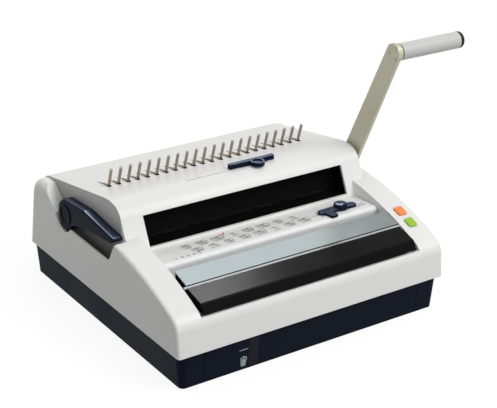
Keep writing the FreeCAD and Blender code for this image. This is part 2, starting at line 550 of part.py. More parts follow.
def paper_table():
    table = Piece("paper_table")
    floor = "top_cover.well_floor"
    shell = [("nose", floor), ("nose", "nose_z"), ("front", "front_z", "round", "left"), ("back", "back_z"),
             ("back", floor)]
    table.pad(table.outline("YZ_Plane", "base_tray.zero", shell), "2*half", both=True)
    hollow = [
        ("nose + thick", floor + " - 1"), ("nose + thick", "nose_z"), ("front", "front_z - 1.1*thick"),
        ("back - thick", "back_z - thick"), ("back - thick", floor + " - 1")]
    table.pocket(table.outline("YZ_Plane", "base_tray.zero", hollow), "2*half - 2*thick", both=True)
    slot = table.oblong("slot_left", "slot_right", "slot_y - 0.5*slot_wide", "slot_y + 0.5*slot_wide")
    table.pocket(table.outline("XY_Plane", "front_z + 1", slot), "slot_deep")
    table.finish()


def edge_guide():
    guide = Piece("edge_guide")
    base = guide.rounded("left", "right", "front - table_y", "back - table_y", "corner")
    guide.pad(guide.outline("XY_Plane", "gap", base), "thick")
    tab = guide.rounded("tab_left", "tab_right", "tab_front - table_y", "front - table_y + corner", "tab_round")
    guide.pad(guide.outline("XY_Plane", "gap", tab), "thick")
    knob = guide.circle("XY_Plane", "gap", [("knob_x", "knob_y - table_y")], "knob_radius")
    guide.pad(knob, "knob_high")
    rim = guide.number("gap + knob_high")
    guide.fillet(lambda edge: abs(edge.valueAt(edge.FirstParameter).z - rim) < 0.01
                 and abs(edge.valueAt(edge.LastParameter).z - rim) < 0.01, "knob_round")
    half = "0.5*paper_table.slot_wide"
    stem = guide.oblong("stem_left", "stem_right", "gap - " + half, half + " - gap")
    guide.pad(guide.outline("XY_Plane", "0 - stem_deep", stem), "stem_deep + gap + 1")
    guide.finish(y="table_y", z="table_z", tilt="tilt")


def deck_plate():
    plate = Piece("deck_plate")
    floor = "top_cover.well_floor"
    sheet_bend = [
        ("front", floor), ("front", "front_z"), ("back", "back_z"), ("back", floor), ("back - thick", floor),
        ("back - thick", "back_z - 1.35*thick"), ("front + thick", "front_z - 0.75*thick"), ("front + thick", floor)]
    plate.pad(plate.outline("YZ_Plane", "left", sheet_bend), "right - left")
    plate.finish()


def deck_trim():
    trim = Piece("deck_trim")
    floor = "top_cover.well_floor"
    strip = [("front", floor), ("front", "top_front"), ("back", "top_back"), ("back", floor)]
    trim.pad(trim.outline("YZ_Plane", "base_tray.zero", strip), "2*half", both=True)
    trim.finish()


def press_bar():
    bar = Piece("press_bar")
    shell = [
        ("back", "back_z"), ("crease_y", "crease_z"), ("brow_y", "brow_z", "brow_radius", "right"),
        ("low_y", "low_z"), ("low_y + 1.17*wall", "low_z"), ("brow_y + 0.9*wall", "brow_z - 0.45*wall"),
        ("back", "back_z - 1.03*wall")]
    bar.pad(bar.outline("YZ_Plane", "base_tray.zero", shell), "2*half", both=True)
    cheek = [
        ("back", "ear_low"), ("back", "back_z - 0.5*wall"), ("crease_y", "crease_z - 0.5*wall"),
        ("brow_y + 0.4*wall", "brow_z - 0.4*wall"), ("low_y + 0.4*wall", "low_z"), ("low_y + 2*wall", "low_z"),
        ("pin_y - ear", "ear_low")]
    for start in ("half - cheek", "0 - half"):
        bar.pad(bar.outline("YZ_Plane", start, cheek), "cheek")
    for start in ("half + 1", "0 - half + cheek + 1"):
        bar.pocket(bar.circle("YZ_Plane", start, [("pin_y", "pin_z")], "pin_radius + pin_gap"), "cheek + 2")
    bar.finish()
    pin = Piece("press_bar_pin", "press_bar", body=False)
    pin.finish(pin.rod("x", "0 - pin_half", "pin_y", "pin_z", "pin_radius", "2*pin_half"))


def press_switch():
    switch = Piece("press_switch", body=False)
    floor = "top_cover.well_floor"
    case = switch.block("x", "y", floor, "wide", "deep", "high")
    stem = switch.rod("z", "x + 0.5*wide", "y + 0.5*deep", floor + " + high - 1", "stem", "stem_high + 1")
    switch.finish(switch.join([case, stem]))


def button(label, place):
    cap = Piece(label, "buttons")
    key = cap.rounded("0 - 0.5*wide", "0.5*wide", "0 - 0.5*deep", "0.5*deep", "corner")
    cap.pad(cap.outline("XY_Plane", "0 - sunk", key), "sunk + proud")
    top = cap.number("proud")
    cap.fillet(lambda edge: abs(edge.valueAt(edge.FirstParameter).z - top) < 0.01
               and abs(edge.valueAt(edge.LastParameter).z - top) < 0.01, "crown")
    cap.finish(x="x", y=place + "_y", z=place + "_z", tilt=place + "_tilt")


def button_board():
    zero = "base_tray.zero"
    card = Piece("button_board", body=False)
    card.finish(card.block(zero, zero, zero, "wide", "deep", "thick"), x="x", y="y", z="z", tilt="tilt")
    keys = Piece("button_switches", "button_board", body=False)
    solids = []
    for place in ("front_at", "back_at"):
        left = "buttons.x - x - 0.5*switch"
        solids.append(keys.block(left, place, "thick", "switch", "switch", "switch_high"))
        solids.append(keys.rod("z", "buttons.x - x", place + " + 0.5*switch", "thick + switch_high", "stem",
                               "stem_high"))
    keys.finish(keys.join(solids), x="x", y="y", z="z", tilt="tilt")


def top_slider():
    slider = Piece("top_slider")
    bar = slider.rounded("left", "right", "front", "back", "corner")
    slider.pad(slider.outline("XY_Plane", "low_z", bar), "high")
    knob = [("knob_x", "front - knob_out")]
    slider.pad(slider.circle("XY_Plane", "low_z + knob_low", knob, "knob_radius"), "knob_high")
    slider.pocket(slider.circle("XY_Plane", "low_z + knob_low + knob_high", knob, "dish"), "dish_deep")
    stem = slider.oblong("stem_left", "stem_right", "top_cover.slot_y + stem_gap",
                         "top_cover.slot_y + top_cover.slot_wide - stem_gap")
    slider.pad(slider.outline("XY_Plane", "low_z - stem_deep", stem), "stem_deep + 1")
    slider.finish()


def handle_pieces():
    zero = "base_tray.zero"
    arm = Piece("handle_arm", "handle")
    blade = [
        ("foot_half", "0 - foot_drop", "hub_radius", "right"), ("top_half", "reach + top_rise"),
        ("0 - top_half", "reach + top_rise", "top_radius", "right"), ("0 - foot_half", "0 - foot_drop")]
    arm.pad(arm.outline("YZ_Plane", "arm_x", blade), "arm_thick")
    through = "arm_x + arm_thick + 1"
    arm.pocket(arm.circle("YZ_Plane", through, [(zero, zero)], "shaft_radius"), "arm_thick + 2")
    spots = [("0 - rivet_side", "reach - 0.5*rivet_out"), ("rivet_side", "reach - 0.5*rivet_out"),
             (zero, "reach + rivet_out")]
    arm.pocket(arm.circle("YZ_Plane", through, spots, "rivet_shank"), "arm_thick + 2")
    place = {"y": "pivot_y", "z": "pivot_z", "tilt": "lean"}
    arm.finish(**place)

    shaft = Piece("handle_shaft", "handle", body=False)
    shaft.finish(shaft.join([
        shaft.rod("x", "shaft_left", zero, zero, "shaft_radius", "shaft_right - shaft_left"),
        shaft.rod("x", "collar_left", zero, zero, "collar_radius", "arm_x - collar_left"),
        shaft.rod("x", "arm_x + arm_thick", zero, zero, "nut_radius", "nut_long")]), **place)

    crank = Piece("handle_crank", "handle")
    lever = [
        ("0 - crank_half", zero), (zero, "0 - crank_half", "crank_half", "right"),
        ("crank_half", zero, "crank_half", "right"), ("0.6*crank_half", "crank_long"),
        (zero, "crank_long + 0.6*crank_half", "0.6*crank_half", "right"),
        ("0 - 0.6*crank_half", "crank_long", "0.6*crank_half", "right")]
    crank.pad(crank.outline("YZ_Plane", "crank_left", lever), "crank_thick")
    far = "crank_left + crank_thick + 1"
    crank.pocket(crank.circle("YZ_Plane", far, [(zero, zero)], "shaft_radius"), "crank_thick + 2")
    crank.pocket(crank.circle("YZ_Plane", far, [(zero, "crank_long")], "crank_hole"), "crank_thick + 2")
    crank.finish(**place)

    spindle = Piece("grip_spindle", "handle", body=False)
    face = "arm_x + arm_thick"
    round_bar = spindle.join([
        spindle.rod("x", face, zero, "reach", "spindle_radius", "spindle_long"),
        spindle.rod("x", face, zero, "reach", "flange_radius", "flange_thick"),
        spindle.rod("x", face, zero, "reach", "sleeve_radius", "sleeve_long")])
    holes = [spindle.rod("x", face + " - 1", spot[0], spot[1], "rivet_shank", "flange_thick + 1") for spot in spots]
    spindle.finish(spindle.less(round_bar, holes), **place)

    rivets = Piece("arm_rivets", "handle", body=False)
    solids = []
    for spot in spots:
        solids.append(rivets.rod("x", "arm_x - rivet_high", spot[0], spot[1], "rivet_radius", "rivet_high"))
        solids.append(rivets.rod("x", "arm_x", spot[0], spot[1], "rivet_shank", "arm_thick + flange_thick"))
    rivets.finish(rivets.join(solids), **place)

    grip = Piece("handle_grip", "handle")
    tube = grip.circle("YZ_Plane", "grip_start", [(zero, "reach")], "grip_radius")
    grip.pad(tube, "grip_long")
    grip.fillet(lambda edge: abs(edge.valueAt(edge.FirstParameter).x - grip.number("grip_start")) < 0.01,
                "grip_round")
    bore = grip.circle("YZ_Plane", "grip_start + grip_long + 1", [(zero, "reach")], "spindle_radius + fit")
    grip.pocket(bore, "grip_long + 2")
    grip.finish(**place)

    cap = Piece("grip_end_cap", "handle")
    cap.pad(cap.circle("YZ_Plane", "grip_start + grip_long", [(zero, "reach")], "grip_radius"), "cap_long")
    end = cap.number("grip_start + grip_long + cap_long")
    cap.fillet(lambda edge: abs(edge.valueAt(edge.FirstParameter).x - end) < 0.01, "cap_round")
    cap.finish(**place)

    bush = Piece("handle_bush", "handle", body=False)
    inner = "top_cover.tower_half - top_cover.tower_wall"
    outside = bush.join([
        bush.rod("x", inner + " - bush_rim", zero, zero, "shaft_radius + bush_wall", "bush_long"),
        bush.rod("x", inner + " - bush_rim", zero, zero, "shaft_radius + 2*bush_wall", "bush_rim")])
    bore = bush.rod("x", inner + " - bush_rim - 1", zero, zero, "shaft_radius + fit", "bush_long + 2")
    bush.finish(bush.less(outside, [bore]), y="pivot_y", z="pivot_z")


def lever_pieces():
    zero = "base_tray.zero"
    place = {"y": "pivot_y", "z": "pivot_z"}
    lever = Piece("size_lever", "lever")
    shape = [
        (zero, "hub_radius", "hub_radius", "right"), ("0 - top_mid_y", "top_mid_z"),
        ("tip_round - tip_y", "tip_top"),
        ("0 - tip_y", "tip_top - tip_round", "tip_round", "right"), ("0 - tip_low_y", "tip_low"),
        ("0 - low_mid_y", "low_mid_z"), ("0 - root_y", "0 - root_z"),
        ("hub_radius", zero, "hub_radius", "right")]
    lever.pad(lever.outline("YZ_Plane", "left", shape), "thick")
    lever.pocket(lever.circle("YZ_Plane", "left + thick", [(zero, zero)], "shaft_radius"), "bore_deep")
    face = lever.number("left")
    lever.fillet(lambda edge: abs(edge.valueAt(edge.FirstParameter).x - face) < 0.01
                 and abs(edge.valueAt(edge.LastParameter).x - face) < 0.01, "soften")
    lever.finish(**place)
    disc = Piece("lever_disc", "lever", body=False)
    round_plate = disc.rod("x", "left - disc_high", zero, zero, "disc_radius", "disc_high")
    dish = disc.rod("x", "left - disc_high - 1", zero, zero, "dish_radius", "dish_deep + 1")
    disc.finish(disc.less(round_plate, [dish]), **place)
    shaft = Piece("lever_shaft", "lever", body=False)
    shaft.finish(shaft.rod("x", "left + thick - bore_deep", zero, zero, "shaft_radius", "shaft_long"), **place)
    cam = Piece("lever_cam", "lever", body=False)
    disc = cam.rod("x", "cam_x", "cam_shift", zero, "cam_radius", "cam_thick")
    cam.finish(cam.less(disc, [cam.rod("x", "cam_x - 1", zero, zero, "shaft_radius", "cam_thick + 2")]), **place)
    bush = Piece("lever_bush", "lever", body=False)
    inner = "top_cover.tower_wall - top_cover.tower_half + handle.bush_rim"
    outside = bush.join([
        bush.rod("x", inner + " - handle.bush_long", zero, zero, "shaft_radius + handle.bush_wall",
                 "handle.bush_long"),
        bush.rod("x", inner + " - handle.bush_rim", zero, zero, "shaft_radius + 2*handle.bush_wall",
                 "handle.bush_rim")])
    bore = bush.rod("x", inner + " - handle.bush_long - 1", zero, zero, "shaft_radius + handle.fit",
                    "handle.bush_long + 2")
    bush.finish(bush.less(outside, [bore]), **place)


def chip_drawer():
    drawer = Piece("chip_drawer")
    front = [
        ("0 - front_low", "low"), ("0 - front_top", "top"), ("thick - front_top", "top"), ("thick - front_low", "low")]
    drawer.pad(drawer.outline("YZ_Plane", "base_tray.zero", front), "2*half", both=True)
    box = drawer.oblong("0 - box_half", "box_half", "thick - front_low - wall", "box_back")
    drawer.pad(drawer.outline("XY_Plane", "box_low", box), "box_high")
    inside = drawer.oblong("wall - box_half", "box_half - wall", "thick", "box_back - wall")
    drawer.pocket(drawer.outline("XY_Plane", "box_low + box_high", inside), "box_high - wall")
    drawer.finish()
    for side in ("left", "right"):
        rail = Piece("drawer_rail_" + side, "drawer_rail", body=False)
        start = "in" if side == "right" else "0 - out"
        rail.finish(rail.block(start, "front", "base_tray.floor_top", "out - in", "long", "high"))


def hook_pieces():
    zero = "base_tray.zero"
    place = {"y": "surface_y", "z": "surface_z", "tilt": "slope"}
    row = "count*pitch - pitch"
    rack = Piece("comb_rack", "hooks")
    bar = rack.oblong("rack_front", "rack_back", "rack_low", "rack_top")
    rack.pad(rack.outline("YZ_Plane", zero, bar), "2*rack_half", both=True)
    rack.finish(**place)

    pins = Piece("comb_pins", "hooks", body=False)
    solids = []
    for index in range(int(pins.number("count"))):
        pin = pins.rod("z", "first + %d*pitch" % index, "pin_foot_y", "pin_foot_z", "pin_radius", "pin_long")
        pin.Placement.Rotation = FreeCAD.Rotation(Vector(1, 0, 0), pins.number("pin_lean"))
        pins.bind(pin, "Placement.Rotation.Angle", "pin_lean")
        solids.append(pin)
    pins.finish(pins.join(solids), **place)

    comb = Piece("hook_bar", "hooks")
    bar = comb.oblong("bar_front", "bar_back", "rack_low", "rack_top")
    comb.pad(comb.outline("YZ_Plane", zero, bar), "2*bar_half", both=True)
    blade = [
        ("head_front", "head_low"), ("blade_front", "head_low"), ("blade_front", "neck_z"),
        ("waist_y", "waist_z"), ("waist_y", "rack_top - 1"), ("blade_back", "rack_top - 1"),
        ("blade_back", "blade_top"), ("head_front", "blade_top")]
    cut = comb.outline("YZ_Plane", "first - 0.5*blade_thick", blade)
    comb.row_of(comb.pad(cut, "blade_thick"), (cut, ["N_Axis"]), "count", row)
    comb.finish(**place)

    for side in ("left", "right"):
        guide = Piece("hook_guide_" + side, "hooks", body=False)
        start = "guide_in" if side == "right" else "0 - guide_out"
        whole = guide.block(start, "guide_front", "guide_low", "guide_out - guide_in", "guide_back - guide_front",
                            "guide_top - guide_low")
        end = "guide_in - 1" if side == "right" else "0 - rack_half"
        seat = guide.block(end, "rack_front", "rack_low", "rack_half - guide_in + 1", "rack_back - rack_front",
                           "rack_top - rack_low")
        end = "guide_in - 1" if side == "right" else "0 - bar_half - guide_gap"
        groove = guide.block(end, "bar_front - guide_gap", "rack_low - guide_gap",
                             "bar_half + guide_gap - guide_in + 1", "bar_back - bar_front + travel + 2*guide_gap",
                             "rack_top - rack_low + 2*guide_gap")
        guide.finish(guide.less(whole, [seat, groove]), **place)


# A plate with the row of rectangular punch holes through it
def holed_plate(label, half, low, top):
    plate = Piece(label, "punch")
    slab = plate.oblong("0 - " + half, half, "plate_y", "plate_y + plate_deep")
    plate.pad(plate.outline("XY_Plane", low, slab), top + " - " + low)
    hole = plate.oblong("first - 0.5*hole_wide", "first + 0.5*hole_wide", "hole_y - 0.5*hole_deep",
                        "hole_y + 0.5*hole_deep")
    cut = plate.outline("XY_Plane", top + " + 1", hole)
    plate.row_of(plate.pocket(cut, top + " - " + low + " + 2"), (cut, ["H_Axis"]), "hooks.count",
                 "hooks.count*hooks.pitch - hooks.pitch")
    return plate


def punch_pieces():
    holed_plate("die_plate", "die_half", "die_low", "die_top").finish()
    guide = holed_plate("punch_guide", "plate_half", "guide_low", "guide_top")
    for start in ("plate_half - spacer", "0 - die_half"):
        lug = guide.oblong("plate_y", "plate_y + plate_deep", "die_top", "guide_low + 1")
        guide.pad(guide.outline("YZ_Plane", start, lug), "die_half - plate_half + spacer")
    guide.finish()
    pins = Piece("punch_pins", "punch", body=False)
    solids = []
    for index in range(int(pins.number("hooks.count"))):
        left = "first + %d*hooks.pitch - 0.5*pin_wide" % index
        solids.append(pins.block(left, "hole_y - 0.5*pin_deep", "pin_low", "pin_wide", "pin_deep", "bar_low - pin_low"))
    pins.finish(pins.join(solids))
    bar = Piece("pressure_bar", "punch", body=False)
    bar.finish(bar.block("0 - bar_half", "hole_y - 0.5*bar_deep", "bar_low", "2*bar_half", "bar_deep", "bar_high"))
    side_plates()


def side_plates():
    for side in ("left", "right"):
        plate = Piece("side_plate_" + side, "punch")
        sheet_side = [
            ("side_front", "base_tray.floor_top"), ("side_back", "base_tray.floor_top"), ("side_back", "side_top"),
            ("side_high_y", "side_top"), ("side_front", "side_step_z")]
        start = "side_x" if side == "right" else "0 - side_x - side_thick"
        plate.pad(plate.outline("YZ_Plane", start, sheet_side), "side_thick")
        through = start + " + side_thick + 1"
        bores = [("drive.shaft_y", "drive.shaft_z", "drive.shaft_radius + handle.fit")]
        if side == "right":
            bores.append(("handle.pivot_y", "handle.pivot_z", "handle.shaft_radius + handle.fit"))
        else:
            bores.append(("lever.pivot_y", "lever.pivot_z", "lever.shaft_radius + handle.fit"))
            bores.append(("drive.pinion_y", "drive.pinion_z", "drive.shaft_hole"))
        for y, z, radius in bores:
            plate.pocket(plate.circle("YZ_Plane", through, [(y, z)], radius), "side_thick + 2")
        plate.finish()


def drive_pieces():
    zero = "base_tray.zero"
    shaft = Piece("camshaft", "drive", body=False)
    shaft.finish(shaft.rod("x", "shaft_left", "shaft_y", "shaft_z", "shaft_radius", "shaft_right - shaft_left"))
    for side in ("left", "right"):
        cam = Piece("cam_" + side, "drive", body=False)
        start = "cam_x" if side == "right" else "0 - cam_x - cam_thick"
        disc = cam.rod("x", start, "shaft_y + cam_shift", "shaft_z", "cam_radius", "cam_thick")
        bore = cam.rod("x", start + " - 1", "shaft_y", "shaft_z", "shaft_radius", "cam_thick + 2")
        cam.finish(cam.less(disc, [bore]))
    gear = Piece("drive_gear", "drive")
    gear.pad(gear.circle("YZ_Plane", "gear_x", [(zero, zero)], "gear_radius"), "gear_thick")
    gear.pad(gear.circle("YZ_Plane", "gear_x + gear_thick", [(zero, zero)], "hub_radius"), "hub_long")
    tooth = [
        ("0 - tooth_half", "gear_radius - 1"), ("tooth_half", "gear_radius - 1"), ("tooth_half", "gear_radius"),
        ("0.5*tooth_half", "gear_radius + tooth_high"), ("0 - 0.5*tooth_half", "gear_radius + tooth_high"),
        ("0 - tooth_half", "gear_radius")]
    cut = gear.outline("YZ_Plane", "gear_x", tooth)
    gear.ring_of(gear.pad(cut, "gear_thick"), (cut, ["N_Axis"]), "gear_teeth")
    gear.pocket(gear.circle("YZ_Plane", "gear_x + gear_thick + hub_long + 1", [(zero, zero)], "shaft_radius"),
                "gear_thick + hub_long + 2")
    gear.finish(y="shaft_y", z="shaft_z")
    pinion = Piece("motor_pinion", "drive", body=False)
    pinion.finish(pinion.join([
        pinion.rod("x", "gear_x", "pinion_y", "pinion_z", "pinion_radius", "gear_thick"),
        pinion.rod("x", "gear_x", "pinion_y", "pinion_z", "motor_shaft", "0 - gear_x - punch.side_x - gap")]))
    motor = Piece("motor", "drive", body=False)
    start = "0 - punch.side_x"
    motor.finish(motor.join([
        motor.rod("x", start, "pinion_y", "pinion_z", "nose_radius", "nose_long"),
        motor.rod("x", start + " + nose_long", "pinion_y", "pinion_z", "motor_radius", "motor_long")]))


def electric_pieces():
    card = Piece("power_board", "board", body=False)
    solids = [card.block("x", "y", "z", "wide", "deep", "thick")]
    for x in ("x + inset", "x + wide - inset"):
        for y in ("y + inset", "y + deep - inset"):
            solids.append(card.rod("z", x, y, "base_tray.floor_top", "leg", "z - base_tray.floor_top"))
    card.finish(card.join(solids))
    parts = Piece("power_parts", "board", body=False)
    parts.finish(parts.join([
        parts.block("coil_x", "coil_y", "z + thick", "coil_wide", "coil_deep", "coil_high"),
        parts.rod("z", "can_x", "can_y", "z + thick", "can_radius", "can_high"),
        parts.block("sink_x", "sink_y", "z + thick", "sink_wide", "sink_deep", "sink_high")]))
    rear = "base_tray.deep"
    inlet = Piece("power_inlet", "inlet", body=False)
    left, low = "base_tray.inlet_x - 0.5*base_tray.inlet_wide", "base_tray.inlet_z - 0.5*base_tray.inlet_high"
    body = inlet.block(left, rear + " - in", low, "base_tray.inlet_wide", "in + out", "base_tray.inlet_high")
    flange = inlet.block(left + " - flange", rear + " - base_tray.wall - flange_thick", low + " - flange",
                         "base_tray.inlet_wide + 2*flange", "flange_thick", "base_tray.inlet_high + 2*flange")
    well = inlet.block(left + " + wall", rear + " + out - well", low + " + wall", "base_tray.inlet_wide - 2*wall",
                       "well + 1", "base_tray.inlet_high - 2*wall")
    blades = [inlet.block("base_tray.inlet_x - 0.5*blade_wide" + step, rear + " + out - well - 1",
                          "base_tray.inlet_z - 0.5*blade_high", "blade_wide", "blade_long", "blade_high")
              for step in (" - blade_step", " + base_tray.zero", " + blade_step")]
    inlet.finish(inlet.join([inlet.less(inlet.join([body, flange]), [well])] + blades))
    frame = Piece("switch_frame", "rocker", body=False)
    left, low = "base_tray.rocker_x - 0.5*base_tray.rocker_wide", "base_tray.inlet_z - 0.5*base_tray.rocker_high"
    body = frame.block(left, rear + " - in", low, "base_tray.rocker_wide", "in + out", "base_tray.rocker_high")
    flange = frame.block(left + " - wall", rear + " - base_tray.wall - wall", low + " - wall",
                         "base_tray.rocker_wide + 2*wall", "wall", "base_tray.rocker_high + 2*wall")
    well = frame.block(left + " + wall", rear + " + out - well", low + " + wall",
                       "base_tray.rocker_wide - 2*wall", "well + 1", "base_tray.rocker_high - 2*wall")
    axle = frame.rod("x", "base_tray.rocker_x - axle_half - axle_gap", rear, "base_tray.inlet_z",
                     "axle_radius + axle_gap", "2*axle_half + 2*axle_gap")
    frame.finish(frame.less(frame.join([body, flange]), [well, axle]))
    rocker = Piece("power_switch", "rocker")
    zero = "base_tray.zero"
    profile = [
        ("back", "0 - half_high"), ("proud", "0 - half_high"), ("dip", zero), ("proud", "half_high"),
        ("back", "half_high")]
    rocker.pad(rocker.outline("YZ_Plane", zero, profile), "base_tray.rocker_wide - 2*wall - 2*gap", both=True)
    rocker.pad(rocker.circle("YZ_Plane", zero, [(zero, zero)], "axle_radius"), "2*axle_half", both=True)
    rocker.finish(x="base_tray.rocker_x", y="base_tray.deep", z="base_tray.inlet_z", tilt="swing")


def feet_and_screws():
    for side, x in zip(("right", "left"), both_sides("foot_inset")):
        for place in ("front", "back"):
            foot = Piece("foot_%s_%s" % (place, side), "foot", body=False)
            foot.finish(foot.rod("z", x, "base_tray.foot_" + place, "low", "radius", "top"))
    middle = Piece("foot_middle", "foot", body=False)
    middle.finish(middle.rod("z", "base_tray.zero", "0.5*base_tray.deep", "low", "radius", "top"))
    screws = Piece("case_screws", "screw", body=False)
    solids = []
    for x in both_sides("post_inset"):
        for place in ("front", "rear"):
            y = "base_tray.%s_post_y" % place
            solids.append(screws.rod("z", x, y, "head_z", "head_radius", "head_high"))
            solids.append(screws.rod("z", x, y, "head_z + head_high", "radius", "long"))
    screws.finish(screws.join(solids))


def write_parts():
    for item in finished:
        if "Invalid" in item.State or "Error" in item.State:
            raise ValueError("%s is not in order: %s" % (item.Label, item.State))
        if item.Shape.isNull() or not item.Shape.isValid():
            raise ValueError("%s has no valid shape" % item.Label)
        item.Shape.exportStep("parts/%s.step" % item.Label)
        box = item.Shape.BoundBox
        print("%-20s %3d solids %8.1f cm3  X %.1f..%.1f  Y %.1f..%.1f  Z %.1f..%.1f" % (
            item.Label, len(item.Shape.Solids), item.Shape.Volume / 1000, box.XMin, box.XMax,
            box.YMin, box.YMax, box.ZMin, box.ZMax))


fill_sheet()
top_cover()
base_tray()
throat_liner()
paper_table()
edge_guide()
deck_plate()
deck_trim()
press_bar()
press_switch()
button("punch_button", "front")
button("reverse_button", "back")
button_board()
top_slider()
handle_pieces()
lever_pieces()
chip_drawer()
hook_pieces()
punch_pieces()
drive_pieces()
electric_pieces()
feet_and_screws()
write_parts()
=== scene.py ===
import json
import math

import bpy
from mathutils import Matrix, Vector


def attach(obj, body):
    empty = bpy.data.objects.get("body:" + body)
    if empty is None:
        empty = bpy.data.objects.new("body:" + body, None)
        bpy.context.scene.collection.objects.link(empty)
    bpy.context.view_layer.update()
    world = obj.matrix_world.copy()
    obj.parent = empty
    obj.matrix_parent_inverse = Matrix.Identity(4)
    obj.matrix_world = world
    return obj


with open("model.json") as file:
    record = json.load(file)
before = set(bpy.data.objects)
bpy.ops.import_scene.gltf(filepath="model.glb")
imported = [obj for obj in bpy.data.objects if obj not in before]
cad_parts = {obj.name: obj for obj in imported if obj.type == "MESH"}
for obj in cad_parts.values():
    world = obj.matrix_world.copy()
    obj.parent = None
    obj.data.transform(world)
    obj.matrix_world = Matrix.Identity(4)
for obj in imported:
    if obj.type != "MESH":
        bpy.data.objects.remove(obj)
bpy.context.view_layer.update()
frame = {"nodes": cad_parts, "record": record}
nodes = frame["nodes"]
scene = bpy.context.scene
scene.view_settings.view_transform = "Standard"
print("frame loaded:", len(nodes), "nodes")

# Camera found from the photo: target point, distance and angles in degrees
cameraSetup = {
    "target": (0.0207, -0.010, 0.1244), "distance": 1.8654, "yaw": 34.33, "pitch": 24.0, "roll": 0.73,
    "lens": 101.43, "sensor": 36.0, "clipStart": 0.05, "clipEnd": 20}


def addCamera(setup):
    yaw, pitch, roll = (math.radians(setup[word]) for word in ("yaw", "pitch", "roll"))
    ahead = Vector((math.sin(yaw) * math.cos(pitch), math.cos(yaw) * math.cos(pitch), -math.sin(pitch)))
    right = Vector((math.cos(yaw), -math.sin(yaw), 0))
    up = right.cross(ahead)
    right, up = (math.cos(roll) * right + math.sin(roll) * up, math.cos(roll) * up - math.sin(roll) * right)
    bpy.ops.object.camera_add(location=Vector(setup["target"]) - ahead * setup["distance"])
    camera = bpy.context.object
    camera.name = "photoCamera"
    camera.rotation_mode = "QUATERNION"
    camera.rotation_quaternion = Matrix((right, up, -ahead)).transposed().to_quaternion()
    camera.data.lens = setup["lens"]
    camera.data.sensor_width = setup["sensor"]
    camera.data.clip_start = setup["clipStart"]
    camera.data.clip_end = setup["clipEnd"]
    scene.camera = camera


# Lamps: place, the point each looks at, size in metres, power in watts
lampSetup = {
    "keyLamp": {"at": (0.9, -1.5, 2.0), "towards": (0, 0, 0.1), "size": 1.3, "watts": 31},
    "frontLamp": {"at": (-0.2, -2.3, 0.5), "towards": (0, 0, 0.1), "size": 1.2, "watts": 11},
    "backLamp": {"at": (0.2, 1.3, 1.6), "towards": (0, 0, 0.12), "size": 1.0, "watts": 7},
    "leftLamp": {"at": (-1.5, 1.3, 0.6), "towards": (-0.2, 0.1, 0.1), "size": 0.8, "watts": 2.2},
}
# Lamps that show only in the gloss of the dark plastics
glossSetup = {
    "barStrip": {"at": (0.05, 0.28, 0.83), "towards": (-0.05, -0.17, 0.11), "size": 0.66, "deep": 0.34,
                 "watts": 15, "colour": (1, 1, 1), "lights": ("press_bar",)},
    "navyStrip": {"at": (0.15, 0.25, 0.9), "towards": (-0.15, -0.05, 0.13), "size": 0.8, "deep": 0.8,
                  "watts": 560, "colour": (0.72, 0.85, 1),
                  "lights": ("size_lever", "top_slider", "edge_guide")},
}
roomSetup = {
    "worldStrength": 0.45, "floorHalf": 6, "floorColour": 0.13, "floorLift": 0.90, "floorRoughness": 0.9}


def addLamp(name, lamp):
    bpy.ops.object.light_add(type="AREA", location=lamp["at"])
    light = bpy.context.object
    light.name = name
    light.data.size = lamp["size"]
    light.data.energy = lamp["watts"]
    aim = Vector(lamp["towards"]) - Vector(lamp["at"])
    light.rotation_mode = "QUATERNION"
    light.rotation_quaternion = aim.to_track_quat("-Z", "Y")
    return light


def addGlossLamp(name, lamp):
    light = addLamp(name, lamp)
    light.data.shape = "RECTANGLE"
    light.data.size_y = lamp["deep"]
    light.data.color = lamp["colour"]
    light.visible_diffuse = False
    lit = bpy.data.collections.new(name + "Lit")
    for node in lamp["lights"]:
        lit.objects.link(nodes[node])
    light.light_linking.receiver_collection = lit


def mathNode(tree, operation, first, second=0.0):
    node = tree.nodes.new("ShaderNodeMath")
    node.operation = operation
    for index, value in enumerate((first, second)):
        if isinstance(value, (int, float)):
            node.inputs[index].default_value = value
        else:
            tree.links.new(value, node.inputs[index])
    return node.outputs[0]


def seenRays(tree):
    # 1 where the camera, a mirror or glass looks straight at the backdrop
    path = tree.nodes.new("ShaderNodeLightPath")
    seen = mathNode(tree, "MAXIMUM", path.outputs["Is Camera Ray"], path.outputs["Is Glossy Ray"])
    return mathNode(tree, "MAXIMUM", seen, path.outputs["Is Transmission Ray"])


def addRoom(setup):
    world = bpy.data.worlds.new("paleRoom")
    scene.world = world
    world.use_nodes = True
    tree = world.node_tree
    background = tree.nodes["Background"]
    background.inputs["Color"].default_value = (1, 1, 1, 1)
    blend = tree.nodes.new("ShaderNodeMapRange")
    blend.inputs["To Min"].default_value = setup["worldStrength"]
    blend.inputs["To Max"].default_value = 1
    tree.links.new(seenRays(tree), blend.inputs["Value"])
    tree.links.new(blend.outputs["Result"], background.inputs["Strength"])

    bpy.ops.mesh.primitive_plane_add(size=2 * setup["floorHalf"], location=(0, 0, 0))
    floor = bpy.context.object
    floor.name = "floor"
    material = bpy.data.materials.new("paleFloor")
    material.use_nodes = True
    tree = material.node_tree
    shader = tree.nodes["Principled BSDF"]
    tone = setup["floorColour"]
    shader.inputs["Base Color"].default_value = (tone, tone, tone, 1)
    shader.inputs["Roughness"].default_value = setup["floorRoughness"]
    shader.inputs["Specular IOR Level"].default_value = 0
    shader.inputs["Emission Color"].default_value = (1, 1, 1, 1)
    lift = mathNode(tree, "MULTIPLY", seenRays(tree), setup["floorLift"])
    tree.links.new(lift, shader.inputs["Emission Strength"])
    floor.data.materials.append(material)


addCamera(cameraSetup)
for lampName, lampFacts in lampSetup.items():
    addLamp(lampName, lampFacts)
for lampName, lampFacts in glossSetup.items():
    addGlossLamp(lampName, lampFacts)
addRoom(roomSetup)
print("camera, lamps and floor made")


